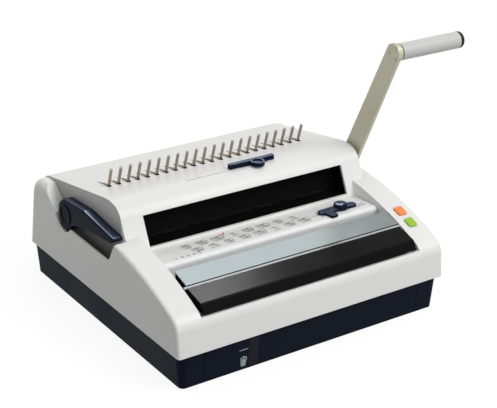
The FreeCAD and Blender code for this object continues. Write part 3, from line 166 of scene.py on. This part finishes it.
# Shared effects as node groups
def newGroup(name, inputs, outputs):
    group = bpy.data.node_groups.new(name, "ShaderNodeTree")
    for word, value in inputs.items():
        socket = group.interface.new_socket(name=word, in_out="INPUT", socket_type="NodeSocketFloat")
        socket.default_value = value
    for word, kind in outputs.items():
        group.interface.new_socket(name=word, in_out="OUTPUT", socket_type="NodeSocket" + kind)
    return group, group.nodes.new("NodeGroupInput"), group.nodes.new("NodeGroupOutput")


def noiseNode(tree, vector, scale, detail, roughness=0.5):
    noise = tree.nodes.new("ShaderNodeTexNoise")
    noise.inputs["Detail"].default_value = detail
    noise.inputs["Roughness"].default_value = roughness
    tree.links.new(vector, noise.inputs["Vector"])
    if isinstance(scale, (int, float)):
        noise.inputs["Scale"].default_value = scale
    else:
        tree.links.new(scale, noise.inputs["Scale"])
    return noise.outputs["Fac"]


mouldGrainForm = {"coarseScale": 0.31, "fineShare": 0.6, "coarseShare": 0.4, "fineDetail": 4,
                  "coarseDetail": 2, "patchDetail": 3, "rough": 0.6}


def makeMouldGrain(form):
    # Fine spark-eroded texture of a plastic moulding, with slow unevenness over a hand's width
    group, source, result = newGroup(
        "mouldGrain", {"grainScale": 900.0, "patchScale": 14.0}, {"Height": "Float", "Patch": "Float"})
    place = group.nodes.new("ShaderNodeTexCoord").outputs["Object"]
    fine = noiseNode(group, place, source.outputs["grainScale"], form["fineDetail"], form["rough"])
    wider = mathNode(group, "MULTIPLY", source.outputs["grainScale"], form["coarseScale"])
    coarse = noiseNode(group, place, wider, form["coarseDetail"])
    height = mathNode(group, "ADD", mathNode(group, "MULTIPLY", fine, form["fineShare"]),
                      mathNode(group, "MULTIPLY", coarse, form["coarseShare"]))
    patch = noiseNode(group, place, source.outputs["patchScale"], form["patchDetail"])
    group.links.new(height, result.inputs["Height"])
    group.links.new(patch, result.inputs["Patch"])
    return group


edgeWearForm = {"samples": 4, "breakUp": 160.0, "detail": 3}


def makeEdgeWear(form):
    # Mask along sharp edges, broken up by a noise, and the rounded normal of those edges
    group, source, result = newGroup(
        "edgeWear", {"radius": 0.0006, "spread": 6.0}, {"Mask": "Float", "Normal": "Vector"})
    bevel = group.nodes.new("ShaderNodeBevel")
    bevel.samples = form["samples"]
    group.links.new(source.outputs["radius"], bevel.inputs["Radius"])
    flat = group.nodes.new("ShaderNodeNewGeometry")
    dot = group.nodes.new("ShaderNodeVectorMath")
    dot.operation = "DOT_PRODUCT"
    group.links.new(bevel.outputs["Normal"], dot.inputs[0])
    group.links.new(flat.outputs["Normal"], dot.inputs[1])
    turned = mathNode(group, "SUBTRACT", 1.0, dot.outputs["Value"])
    spread = mathNode(group, "MULTIPLY", turned, source.outputs["spread"])
    place = group.nodes.new("ShaderNodeTexCoord").outputs["Object"]
    rubbed = mathNode(group, "MULTIPLY", spread, noiseNode(group, place, form["breakUp"], form["detail"]))
    limit = group.nodes.new("ShaderNodeClamp")
    group.links.new(rubbed, limit.inputs["Value"])
    group.links.new(limit.outputs["Result"], result.inputs["Mask"])
    group.links.new(bevel.outputs["Normal"], result.inputs["Normal"])
    return group


fineDustForm = {"detail": 6, "rough": 0.7}


def makeFineDust(form):
    # Thin dust that settles on faces that look up
    group, source, result = newGroup("fineDust", {"amount": 0.1, "scale": 60.0}, {"Mask": "Float"})
    facing = group.nodes.new("ShaderNodeNewGeometry")
    split = group.nodes.new("ShaderNodeSeparateXYZ")
    group.links.new(facing.outputs["Normal"], split.inputs["Vector"])
    place = group.nodes.new("ShaderNodeTexCoord").outputs["Object"]
    specks = noiseNode(group, place, source.outputs["scale"], form["detail"], form["rough"])
    upward = mathNode(group, "MAXIMUM", split.outputs["Z"], 0.0)
    mask = mathNode(group, "MULTIPLY", mathNode(group, "MULTIPLY", upward, specks), source.outputs["amount"])
    group.links.new(mask, result.inputs["Mask"])
    return group


brushedForm = {"detail": 3, "rough": 0.6, "lineShare": 0.65, "patchShare": 0.35, "patchScale": 18.0,
               "patchDetail": 2}


def makeBrushedLines(form):
    # Long scratches along X, from grinding or rolling
    group, source, result = newGroup(
        "brushedLines", {"along": 6.0, "across": 900.0}, {"Height": "Float", "Shade": "Float"})
    place = group.nodes.new("ShaderNodeTexCoord").outputs["Object"]
    stretch = group.nodes.new("ShaderNodeCombineXYZ")
    group.links.new(source.outputs["along"], stretch.inputs["X"])
    group.links.new(source.outputs["across"], stretch.inputs["Y"])
    group.links.new(source.outputs["across"], stretch.inputs["Z"])
    scaled = group.nodes.new("ShaderNodeVectorMath")
    scaled.operation = "MULTIPLY"
    group.links.new(place, scaled.inputs[0])
    group.links.new(stretch.outputs["Vector"], scaled.inputs[1])
    lines = noiseNode(group, scaled.outputs["Vector"], 1.0, form["detail"], form["rough"])
    patches = noiseNode(group, place, form["patchScale"], form["patchDetail"])
    tone = mathNode(group, "ADD", mathNode(group, "MULTIPLY", lines, form["lineShare"]),
                    mathNode(group, "MULTIPLY", patches, form["patchShare"]))
    group.links.new(lines, result.inputs["Height"])
    group.links.new(tone, result.inputs["Shade"])
    return group


# The cover's slope behind the crest, where the pins stand: a point on it, its fall in degrees, and how far
# the walls of the cuts, which get painted shade, reach in metres
plateau = {"at": (0, 0.052, 0.16862), "fall": 9.4, "skin": 0.00015, "depth": 0.005, "front": 0.044,
           "back": 0.095, "half": 0.160, "slitFrom": 0.0562}


def makeCutShade(slope):
    # Masks for painted shade on the walls of the pin holes and slits, which lie just under the slope's
    # surface
    group, _, result = newGroup("cutShade", {}, {"Mask": "Float", "Slit": "Float"})
    place = group.nodes.new("ShaderNodeTexCoord").outputs["Object"]
    fall = math.radians(slope["fall"])
    offset = group.nodes.new("ShaderNodeVectorMath")
    offset.operation = "SUBTRACT"
    offset.inputs[1].default_value = slope["at"]
    group.links.new(place, offset.inputs[0])
    height = group.nodes.new("ShaderNodeVectorMath")
    height.operation = "DOT_PRODUCT"
    height.inputs[1].default_value = (0, math.sin(fall), math.cos(fall))
    group.links.new(offset.outputs["Vector"], height.inputs[0])
    split = group.nodes.new("ShaderNodeSeparateXYZ")
    group.links.new(place, split.inputs["Vector"])
    tests = (
        ("LESS_THAN", height.outputs["Value"], -slope["skin"]),
        ("GREATER_THAN", height.outputs["Value"], -slope["depth"]),
        ("GREATER_THAN", split.outputs["Y"], slope["front"]),
        ("LESS_THAN", split.outputs["Y"], slope["back"]),
        ("GREATER_THAN", split.outputs["X"], -slope["half"]),
        ("LESS_THAN", split.outputs["X"], slope["half"]))
    mask = 1.0
    for operation, value, limit in tests:
        mask = mathNode(group, "MULTIPLY", mask, mathNode(group, operation, value, limit))
    group.links.new(mask, result.inputs["Mask"])
    slitShade = mathNode(group, "GREATER_THAN", split.outputs["Y"], slope["slitFrom"])
    group.links.new(slitShade, result.inputs["Slit"])
    return group


# Painted shade on the upright wall behind the lever: its colour darkened as if the lever and the notch shaded
# it, most at its foot
recess = {"wall": -0.186, "skin": 0.0006, "low": 0.115, "high": 0.168, "darkest": 0.74, "lightest": 0.34,
          "front": -0.034}


def makeRecessShade(setup):
    group, _, result = newGroup("recessShade", {}, {"Mask": "Float"})
    place = group.nodes.new("ShaderNodeTexCoord").outputs["Object"]
    split = group.nodes.new("ShaderNodeSeparateXYZ")
    group.links.new(place, split.inputs["Vector"])
    beyond = mathNode(group, "ABSOLUTE", mathNode(group, "SUBTRACT", split.outputs["X"], setup["wall"]))
    onWall = mathNode(group, "MULTIPLY", mathNode(group, "LESS_THAN", beyond, setup["skin"]),
                      mathNode(group, "GREATER_THAN", split.outputs["Y"], setup["front"]))
    fade = group.nodes.new("ShaderNodeMapRange")
    fade.interpolation_type = "SMOOTHSTEP"
    fade.inputs["From Min"].default_value = setup["low"]
    fade.inputs["From Max"].default_value = setup["high"]
    fade.inputs["To Min"].default_value = setup["darkest"]
    fade.inputs["To Max"].default_value = setup["lightest"]
    group.links.new(split.outputs["Z"], fade.inputs["Value"])
    group.links.new(mathNode(group, "MULTIPLY", onWall, fade.outputs["Result"]), result.inputs["Mask"])
    return group


lipFacing = -0.6


def makePlateShade(facingLimit):
    # Painted shade on a bent plate: dims its colour towards one end, and finds its upright front lip, which
    # gets a painted dark edge
    group, source, result = newGroup("plateShade", {"from": 0.0, "to": 1.0}, {"Dim": "Float", "Lip": "Float"})
    coordinates = group.nodes.new("ShaderNodeTexCoord")
    split = group.nodes.new("ShaderNodeSeparateXYZ")
    group.links.new(coordinates.outputs["Object"], split.inputs["Vector"])
    fade = group.nodes.new("ShaderNodeMapRange")
    fade.interpolation_type = "SMOOTHSTEP"
    group.links.new(split.outputs["X"], fade.inputs["Value"])
    group.links.new(source.outputs["from"], fade.inputs["From Min"])
    group.links.new(source.outputs["to"], fade.inputs["From Max"])
    group.links.new(fade.outputs["Result"], result.inputs["Dim"])
    facing = group.nodes.new("ShaderNodeSeparateXYZ")
    group.links.new(coordinates.outputs["Normal"], facing.inputs["Vector"])
    group.links.new(mathNode(group, "LESS_THAN", facing.outputs["Y"], facingLimit), result.inputs["Lip"])
    return group


mouldGrain = makeMouldGrain(mouldGrainForm)
plateShade = makePlateShade(lipFacing)
cutShade = makeCutShade(plateau)
recessShade = makeRecessShade(recess)
edgeWear = makeEdgeWear(edgeWearForm)
fineDust = makeFineDust(fineDustForm)
brushedLines = makeBrushedLines(brushedForm)


def placeGroup(tree, group, values):
    node = tree.nodes.new("ShaderNodeGroup")
    node.node_tree = group
    for word, value in values.items():
        node.inputs[word].default_value = value
    return node


def mixColours(tree, factor, first, second):
    mix = tree.nodes.new("ShaderNodeMix")
    mix.data_type = "RGBA"
    tree.links.new(factor, mix.inputs["Factor"])
    for word, value in (("A", first), ("B", second)):
        socket = next(item for item in mix.inputs if item.name == word and item.type == "RGBA")
        if isinstance(value, tuple):
            socket.default_value = (*value, 1)
        else:
            tree.links.new(value, socket)
    return next(item for item in mix.outputs if item.type == "RGBA")


# A noise keeps mostly between these values
noiseReach = (0.25, 0.75)


def spreadValue(tree, value, low, high):
    spread = tree.nodes.new("ShaderNodeMapRange")
    spread.inputs["From Min"].default_value = noiseReach[0]
    spread.inputs["From Max"].default_value = noiseReach[1]
    spread.inputs["To Min"].default_value = low
    spread.inputs["To Max"].default_value = high
    tree.links.new(value, spread.inputs["Value"])
    return spread.outputs["Result"]


def joinBump(tree, shader, height, strength, distance, normal):
    bump = tree.nodes.new("ShaderNodeBump")
    bump.inputs["Strength"].default_value = strength
    bump.inputs["Distance"].default_value = distance
    tree.links.new(height, bump.inputs["Height"])
    tree.links.new(normal, bump.inputs["Normal"])
    tree.links.new(bump.outputs["Normal"], shader.inputs["Normal"])


def shade(colour, factor):
    return tuple(min(1.0, channel * factor) for channel in colour)


# What a finish has unless its own look says otherwise; lengths in metres
mouldedUsual = {
    "grain": 1500.0, "patchScale": 14.0, "round": 0.0006, "spread": 5.0, "wear": 0.25, "edgeLift": 1.25,
    "dust": 0.04, "dustScale": 60.0, "dustColour": (0.55, 0.54, 0.52), "uneven": 0.03, "specular": 0.5,
    "coat": 0.0, "coatRoughness": 0.12, "bump": 0.12, "depth": 0.00012}
metalUsual = {
    "along": 6.0, "across": 900.0, "round": 0.0004, "spread": 5.0, "wear": 0.4, "edgeLift": 1.3,
    "uneven": 0.08, "metallic": 1.0, "bump": 0.15, "depth": 0.00004}


def startMaterial(name):
    material = bpy.data.materials.new(name)
    material.use_nodes = True
    return material, material.node_tree, material.node_tree.nodes["Principled BSDF"]


def wornColour(tree, look, unevenMask, wear):
    colour = look["colour"]
    uneven = look["uneven"]
    base = mixColours(tree, unevenMask, shade(colour, 1 - uneven), shade(colour, 1 + uneven))
    rubbed = mathNode(tree, "MULTIPLY", wear.outputs["Mask"], look["wear"])
    return mixColours(tree, rubbed, base, look.get("edge", shade(colour, look["edgeLift"])))


def mouldedMaterial(name, ownLook):
    look = {**mouldedUsual, **ownLook}
    material, tree, shader = startMaterial(name)
    grain = placeGroup(tree, mouldGrain, {"grainScale": look["grain"], "patchScale": look["patchScale"]})
    wear = placeGroup(tree, edgeWear, {"radius": look["round"], "spread": look["spread"]})
    dust = placeGroup(tree, fineDust, {"amount": look["dust"], "scale": look["dustScale"]})
    worn = wornColour(tree, look, grain.outputs["Patch"], wear)
    final = mixColours(tree, dust.outputs["Mask"], worn, look["dustColour"])
    if "cut" in look:
        # Painted shade: the wall behind the lever is darkened towards its foot
        final = mixColours(tree, placeGroup(tree, recessShade, {}).outputs["Mask"], final, look["recess"])
        # Painted shade: the walls of the pin holes are painted near black and the walls of the slits
        # grey-brown
        cutMasks = placeGroup(tree, cutShade, {})
        cutColour = mixColours(tree, cutMasks.outputs["Slit"], look["cut"], look["slitShade"])
        final = mixColours(tree, cutMasks.outputs["Mask"], final, cutColour)
    tree.links.new(final, shader.inputs["Base Color"])
    tree.links.new(spreadValue(tree, grain.outputs["Patch"], *look["roughness"]), shader.inputs["Roughness"])
    shader.inputs["Specular IOR Level"].default_value = look["specular"]
    shader.inputs["Coat Weight"].default_value = look["coat"]
    shader.inputs["Coat Roughness"].default_value = look["coatRoughness"]
    joinBump(tree, shader, grain.outputs["Height"], look["bump"], look["depth"], wear.outputs["Normal"])
    return material


def metalMaterial(name, ownLook):
    look = {**metalUsual, **ownLook}
    material, tree, shader = startMaterial(name)
    lines = placeGroup(tree, brushedLines, {"along": look["along"], "across": look["across"]})
    wear = placeGroup(tree, edgeWear, {"radius": look["round"], "spread": look["spread"]})
    final = wornColour(tree, look, lines.outputs["Shade"], wear)
    # Painted shade: the plate's colour darkens towards one end, and its upright front lip is painted dark
    if "lip" in look:
        masks = placeGroup(tree, plateShade, {"from": look["dimFrom"], "to": look["dimTo"]})
        final = mixColours(tree, masks.outputs["Dim"], final, shade(look["colour"], 1 - look["dimBy"]))
        final = mixColours(tree, masks.outputs["Lip"], final, look["lip"])
    tree.links.new(final, shader.inputs["Base Color"])
    tree.links.new(spreadValue(tree, lines.outputs["Shade"], *look["roughness"]), shader.inputs["Roughness"])
    shader.inputs["Metallic"].default_value = look["metallic"]
    joinBump(tree, shader, lines.outputs["Height"], look["bump"], look["depth"], wear.outputs["Normal"])
    return material


# Finishes of the machine; colours are linear
mouldedLooks = {
    # whiteShell's hole, slit and recess colours are painted shade, not colours of the plastic
    "whiteShell": {"colour": (0.80, 0.80, 0.79), "roughness": (0.34, 0.44), "edge": (0.84, 0.84, 0.83),
                   "uneven": 0.012, "cut": (0.006, 0.005, 0.004), "slitShade": (0.16, 0.14, 0.11),
                   "recess": (0.02, 0.018, 0.016)},
    "whiteTable": {"colour": (0.84, 0.84, 0.835), "roughness": (0.32, 0.42), "edge": (0.88, 0.88, 0.87),
                   "uneven": 0.012},
    "navyShell": {"colour": (0.0065, 0.0095, 0.019), "roughness": (0.42, 0.52), "edge": (0.02, 0.025, 0.04),
                  "specular": 0.03, "dust": 0.004},
    "navyPart": {"colour": (0.007, 0.012, 0.028), "roughness": (0.26, 0.36), "edge": (0.04, 0.055, 0.09),
                 "specular": 0.02, "dust": 0.004},
    "pressBlack": {"colour": (0.003, 0.003, 0.0035), "roughness": (0.20, 0.28), "edge": (0.01, 0.01, 0.01),
                   "specular": 0.05, "dust": 0.004, "grain": 2600.0, "bump": 0.06},
    "linerBlack": {"colour": (0.003, 0.003, 0.003), "roughness": (0.5, 0.62), "specular": 0.02,
                   "dust": 0.004},
    "leverDisc": {"colour": (0.004, 0.005, 0.009), "roughness": (0.36, 0.46), "edge": (0.02, 0.024, 0.034),
                  "specular": 0.03, "dust": 0.006},
    "inkGrey": {"colour": (0.05, 0.05, 0.055), "roughness": (0.4, 0.5), "edge": (0.05, 0.05, 0.055),
                "dust": 0.01},
    "inkRed": {"colour": (0.62, 0.05, 0.04), "roughness": (0.4, 0.5), "edge": (0.62, 0.05, 0.04),
               "dust": 0.01},
    "inkWhite": {"colour": (0.42, 0.45, 0.48), "roughness": (0.4, 0.5), "edge": (0.42, 0.45, 0.48),
                 "dust": 0.01},
    "inkBlack": {"colour": (0.004, 0.005, 0.008), "roughness": (0.3, 0.4), "edge": (0.004, 0.005, 0.008),
                 "specular": 0.1, "dust": 0.004},
    "gripWhite": {"colour": (0.57, 0.57, 0.56), "roughness": (0.26, 0.34), "uneven": 0.01},
    "capBlack": {"colour": (0.008, 0.008, 0.009), "roughness": (0.34, 0.44), "specular": 0.15, "dust": 0.01},
    "keyOrange": {"colour": (0.92, 0.25, 0.055), "roughness": (0.30, 0.38), "edge": (0.95, 0.42, 0.2)},
    "keyGreen": {"colour": (0.29, 0.54, 0.018), "roughness": (0.30, 0.38), "edge": (0.45, 0.7, 0.1)},
    "innerBlack": {"colour": (0.02, 0.02, 0.02), "roughness": (0.45, 0.6)},
    "bearingPlastic": {"colour": (0.62, 0.60, 0.55), "roughness": (0.4, 0.5)},
    "footRubber": {"colour": (0.02, 0.02, 0.02), "roughness": (0.75, 0.9), "grain": 700.0, "bump": 0.4},
    "boardGreen": {"colour": (0.02, 0.13, 0.05), "roughness": (0.3, 0.45), "coat": 0.4},
}
metalLooks = {
    # clampSteel's dimming towards one end and its lip colour are painted shade
    "clampSteel": {"colour": (0.47, 0.53, 0.545), "roughness": (0.26, 0.36), "dimFrom": 0.04, "dimTo": 0.155,
                   "dimBy": 0.42, "lip": (0.03, 0.035, 0.04)},
    "brightTrim": {"colour": (0.52, 0.54, 0.56), "roughness": (0.10, 0.18), "uneven": 0.03},
    "armSteel": {"colour": (0.56, 0.54, 0.41), "roughness": (0.38, 0.5), "metallic": 0.35, "uneven": 0.05},
    "pinNickel": {"colour": (0.36, 0.31, 0.25), "roughness": (0.30, 0.42), "along": 300.0},
    "hookSteel": {"colour": (0.34, 0.30, 0.24), "roughness": (0.4, 0.55)},
    "machineSteel": {"colour": (0.45, 0.46, 0.47), "roughness": (0.32, 0.45)},
    "motorCan": {"colour": (0.28, 0.29, 0.30), "roughness": (0.4, 0.5), "metallic": 0.6},
}
slotFinish = {
    "white_shell": "whiteShell", "white_table": "whiteTable", "navy_shell": "navyShell",
    "navy_part": "navyPart", "black_gloss": "pressBlack", "black_inner": "linerBlack",
    "clamp_steel": "clampSteel", "bright_trim": "brightTrim", "arm_steel": "armSteel",
    "grip_white": "gripWhite", "cap_black": "capBlack", "pin_steel": "pinNickel", "hook_steel": "hookSteel",
    "machine_steel": "machineSteel", "orange_key": "keyOrange", "green_key": "keyGreen",
    "motor_can": "motorCan", "board_green": "boardGreen", "black_part": "innerBlack",
    "bearing_plastic": "bearingPlastic", "foot_rubber": "footRubber"}

nodeFinish = {"lever_disc": "leverDisc"}

finishes = {name: mouldedMaterial(name, look) for name, look in mouldedLooks.items()}
finishes.update({name: metalMaterial(name, look) for name, look in metalLooks.items()})
for entry in frame["record"]["subparts"]:
    node = nodes[entry["node"]]
    node.data.materials.clear()
    node.data.materials.append(finishes[nodeFinish.get(entry["node"], slotFinish[entry["material_slot"]])])
print("finishes made:", len(finishes))

# Printed marks are drawn in millimetres on the ground plane, then laid on a face
mm = 0.001
markCorner = {"share": 0.2, "segments": 2}


def flatMark(x, y, wide, high, turn=0, line=0):
    # One printed mark: a bar with rounded corners, or its outline where a line width is given
    bpy.ops.object.select_all(action="DESELECT")
    spin = (0, 0, math.radians(turn))
    bpy.ops.mesh.primitive_plane_add(size=1, location=(x * mm, y * mm, 0), rotation=spin)
    mark = bpy.context.object
    mark.scale = (wide * mm, high * mm, 1)
    bpy.ops.object.transform_apply(location=True, rotation=True, scale=True)
    bpy.ops.object.mode_set(mode="EDIT")
    bpy.ops.mesh.select_all(action="SELECT")
    corner = markCorner["share"] * min(wide, high) * mm
    bpy.ops.mesh.bevel(offset=corner, segments=markCorner["segments"], affect="VERTICES")
    if line:
        bpy.ops.mesh.select_all(action="SELECT")
        bpy.ops.mesh.inset(thickness=line * mm)
        bpy.ops.mesh.delete(type="FACE")
    bpy.ops.object.mode_set(mode="OBJECT")
    return mark


def numberMark(x, y, text, high):
    bpy.ops.object.select_all(action="DESELECT")
    bpy.ops.object.text_add(location=(x * mm, y * mm, 0))
    label = bpy.context.object
    label.data.body = text
    label.data.size = high * mm
    label.data.align_x = "CENTER"
    label.data.align_y = "CENTER"
    bpy.ops.object.convert(target="MESH")
    bpy.ops.object.transform_apply(location=True, rotation=True, scale=True)
    return bpy.context.object


def layPrint(name, marks, look):
    bpy.ops.object.select_all(action="DESELECT")
    for mark in marks:
        mark.select_set(True)
    bpy.context.view_layer.objects.active = marks[0]
    bpy.ops.object.join()
    sheet = bpy.context.object
    sheet.name = name
    sheet.data.name = name
    sheet.location = look["at"]
    sheet.rotation_euler = (math.radians(look["lean"]), 0, 0)
    bpy.ops.object.transform_apply(location=True, rotation=True, scale=True)
    sheet.data.materials.clear()
    sheet.data.materials.append(finishes[look["finish"]])
    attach(sheet, look["body"])


# Picture boxes and numbers printed on the table, in millimetres about the middle of its flat
tablePrint = {
    "at": (0, -0.0745, 0.11915), "lean": -2.63, "finish": "inkGrey", "body": "case",
    "rows": ((-112, 9), (-104, -6.5)), "rowShift": 2, "columns": 8, "columnStep": 23.5, "wide": 15,
    "widen": 3.5, "widths": 3, "high": 8.5, "bareEvery": 4, "line": 0.8, "captionGap": 2.6,
    "captionHigh": 1.2, "captionWide": 0.8,
    "innerHigh": 1.5, "inner": ((-0.1, 0.15, 0.55, 12), (0.1, -0.2, 0.4, -20)),
    "numbers": ("1", "2", "3", "4", "5"), "numbersFrom": (-141, -17), "numberStep": 8.5, "numberHigh": 8}


def printTable(look):
    marks = []
    high = look["high"]
    for row, (start, y) in enumerate(look["rows"]):
        for column in range(look["columns"]):
            x = start + column * look["columnStep"]
            wide = look["wide"] + look["widen"] * ((column + row) % look["widths"] - 1)
            # Every fourth picture has no box round it
            if (column + look["rowShift"] * row) % look["bareEvery"] != look["bareEvery"] - 1:
                marks.append(flatMark(x, y, wide, high, line=look["line"]))
            for across, up, share, turn in look["inner"]:
                place = (x + across * wide, y + up * high)
                marks.append(flatMark(*place, share * wide, look["innerHigh"], turn=turn))
            captionY = y - high / 2 - look["captionGap"]
            marks.append(flatMark(x, captionY, look["captionWide"] * wide, look["captionHigh"]))
    x, y = look["numbersFrom"]
    for step, text in enumerate(look["numbers"]):
        marks.append(numberMark(x + step * look["numberStep"], y, text, look["numberHigh"]))
    layPrint("tablePrint", marks, look)


# Each stroke: x, y, width, height and turn in degrees
redMark = {"at": (0, -0.0745, 0.1192), "lean": -2.63, "finish": "inkRed", "body": "case",
           "strokes": ((-57.4, 14.0, 4.6, 2, -50), (-51.8, 15.6, 9, 2, 50))}
tableScale = {"at": (0, -0.0745, 0.1192), "lean": -2.63, "finish": "inkBlack", "body": "case", "from": 86,
              "step": 3, "count": 25, "y": -9.5, "wide": 0.9, "short": 3, "long": 4.8, "every": 5}


def printScale(look):
    marks = []
    for step in range(look["count"]):
        high = look["short"] if step % look["every"] else look["long"]
        marks.append(flatMark(look["from"] + step * look["step"], look["y"] - high / 2, look["wide"], high))
    layPrint("tableScale", marks, look)


# Marks on the drawer's front: a level line, a plain bin and a darker window, about a point on its face
drawerPrint = {
    "at": (0, -0.19221, 0.024), "lean": 94.91, "finish": "inkWhite", "body": "drawer",
    "strokes": ((-108, 6.3, 13, 1, 0), (-107.6, -5.4, 9, 1.2, 0), (-107.6, -3.8, 3.6, 1, 0),
                (-107.6, -17.2, 6, 1.2, 0), (-111.1, -11.4, 1.1, 10.6, 8), (-104.1, -11.4, 1.1, 10.6, -8),
                (-109, -11.6, 1.3, 8.6, 4), (-106.2, -11.6, 1.3, 8.6, -4), (-107.6, -11.6, 1.2, 8.6, 0))}
drawerWindow = {"at": (0, -0.19216, 0.024), "lean": 94.91, "finish": "inkBlack", "body": "drawer",
                "strokes": ((-93, -0.5, 13, 40, 0),)}


def printStrokes(name, look):
    layPrint(name, [flatMark(*stroke) for stroke in look["strokes"]], look)


printTable(tablePrint)
printStrokes("redMark", redMark)
printScale(tableScale)
printStrokes("drawerPrint", drawerPrint)
printStrokes("drawerWindow", drawerWindow)
print("printed marks laid")
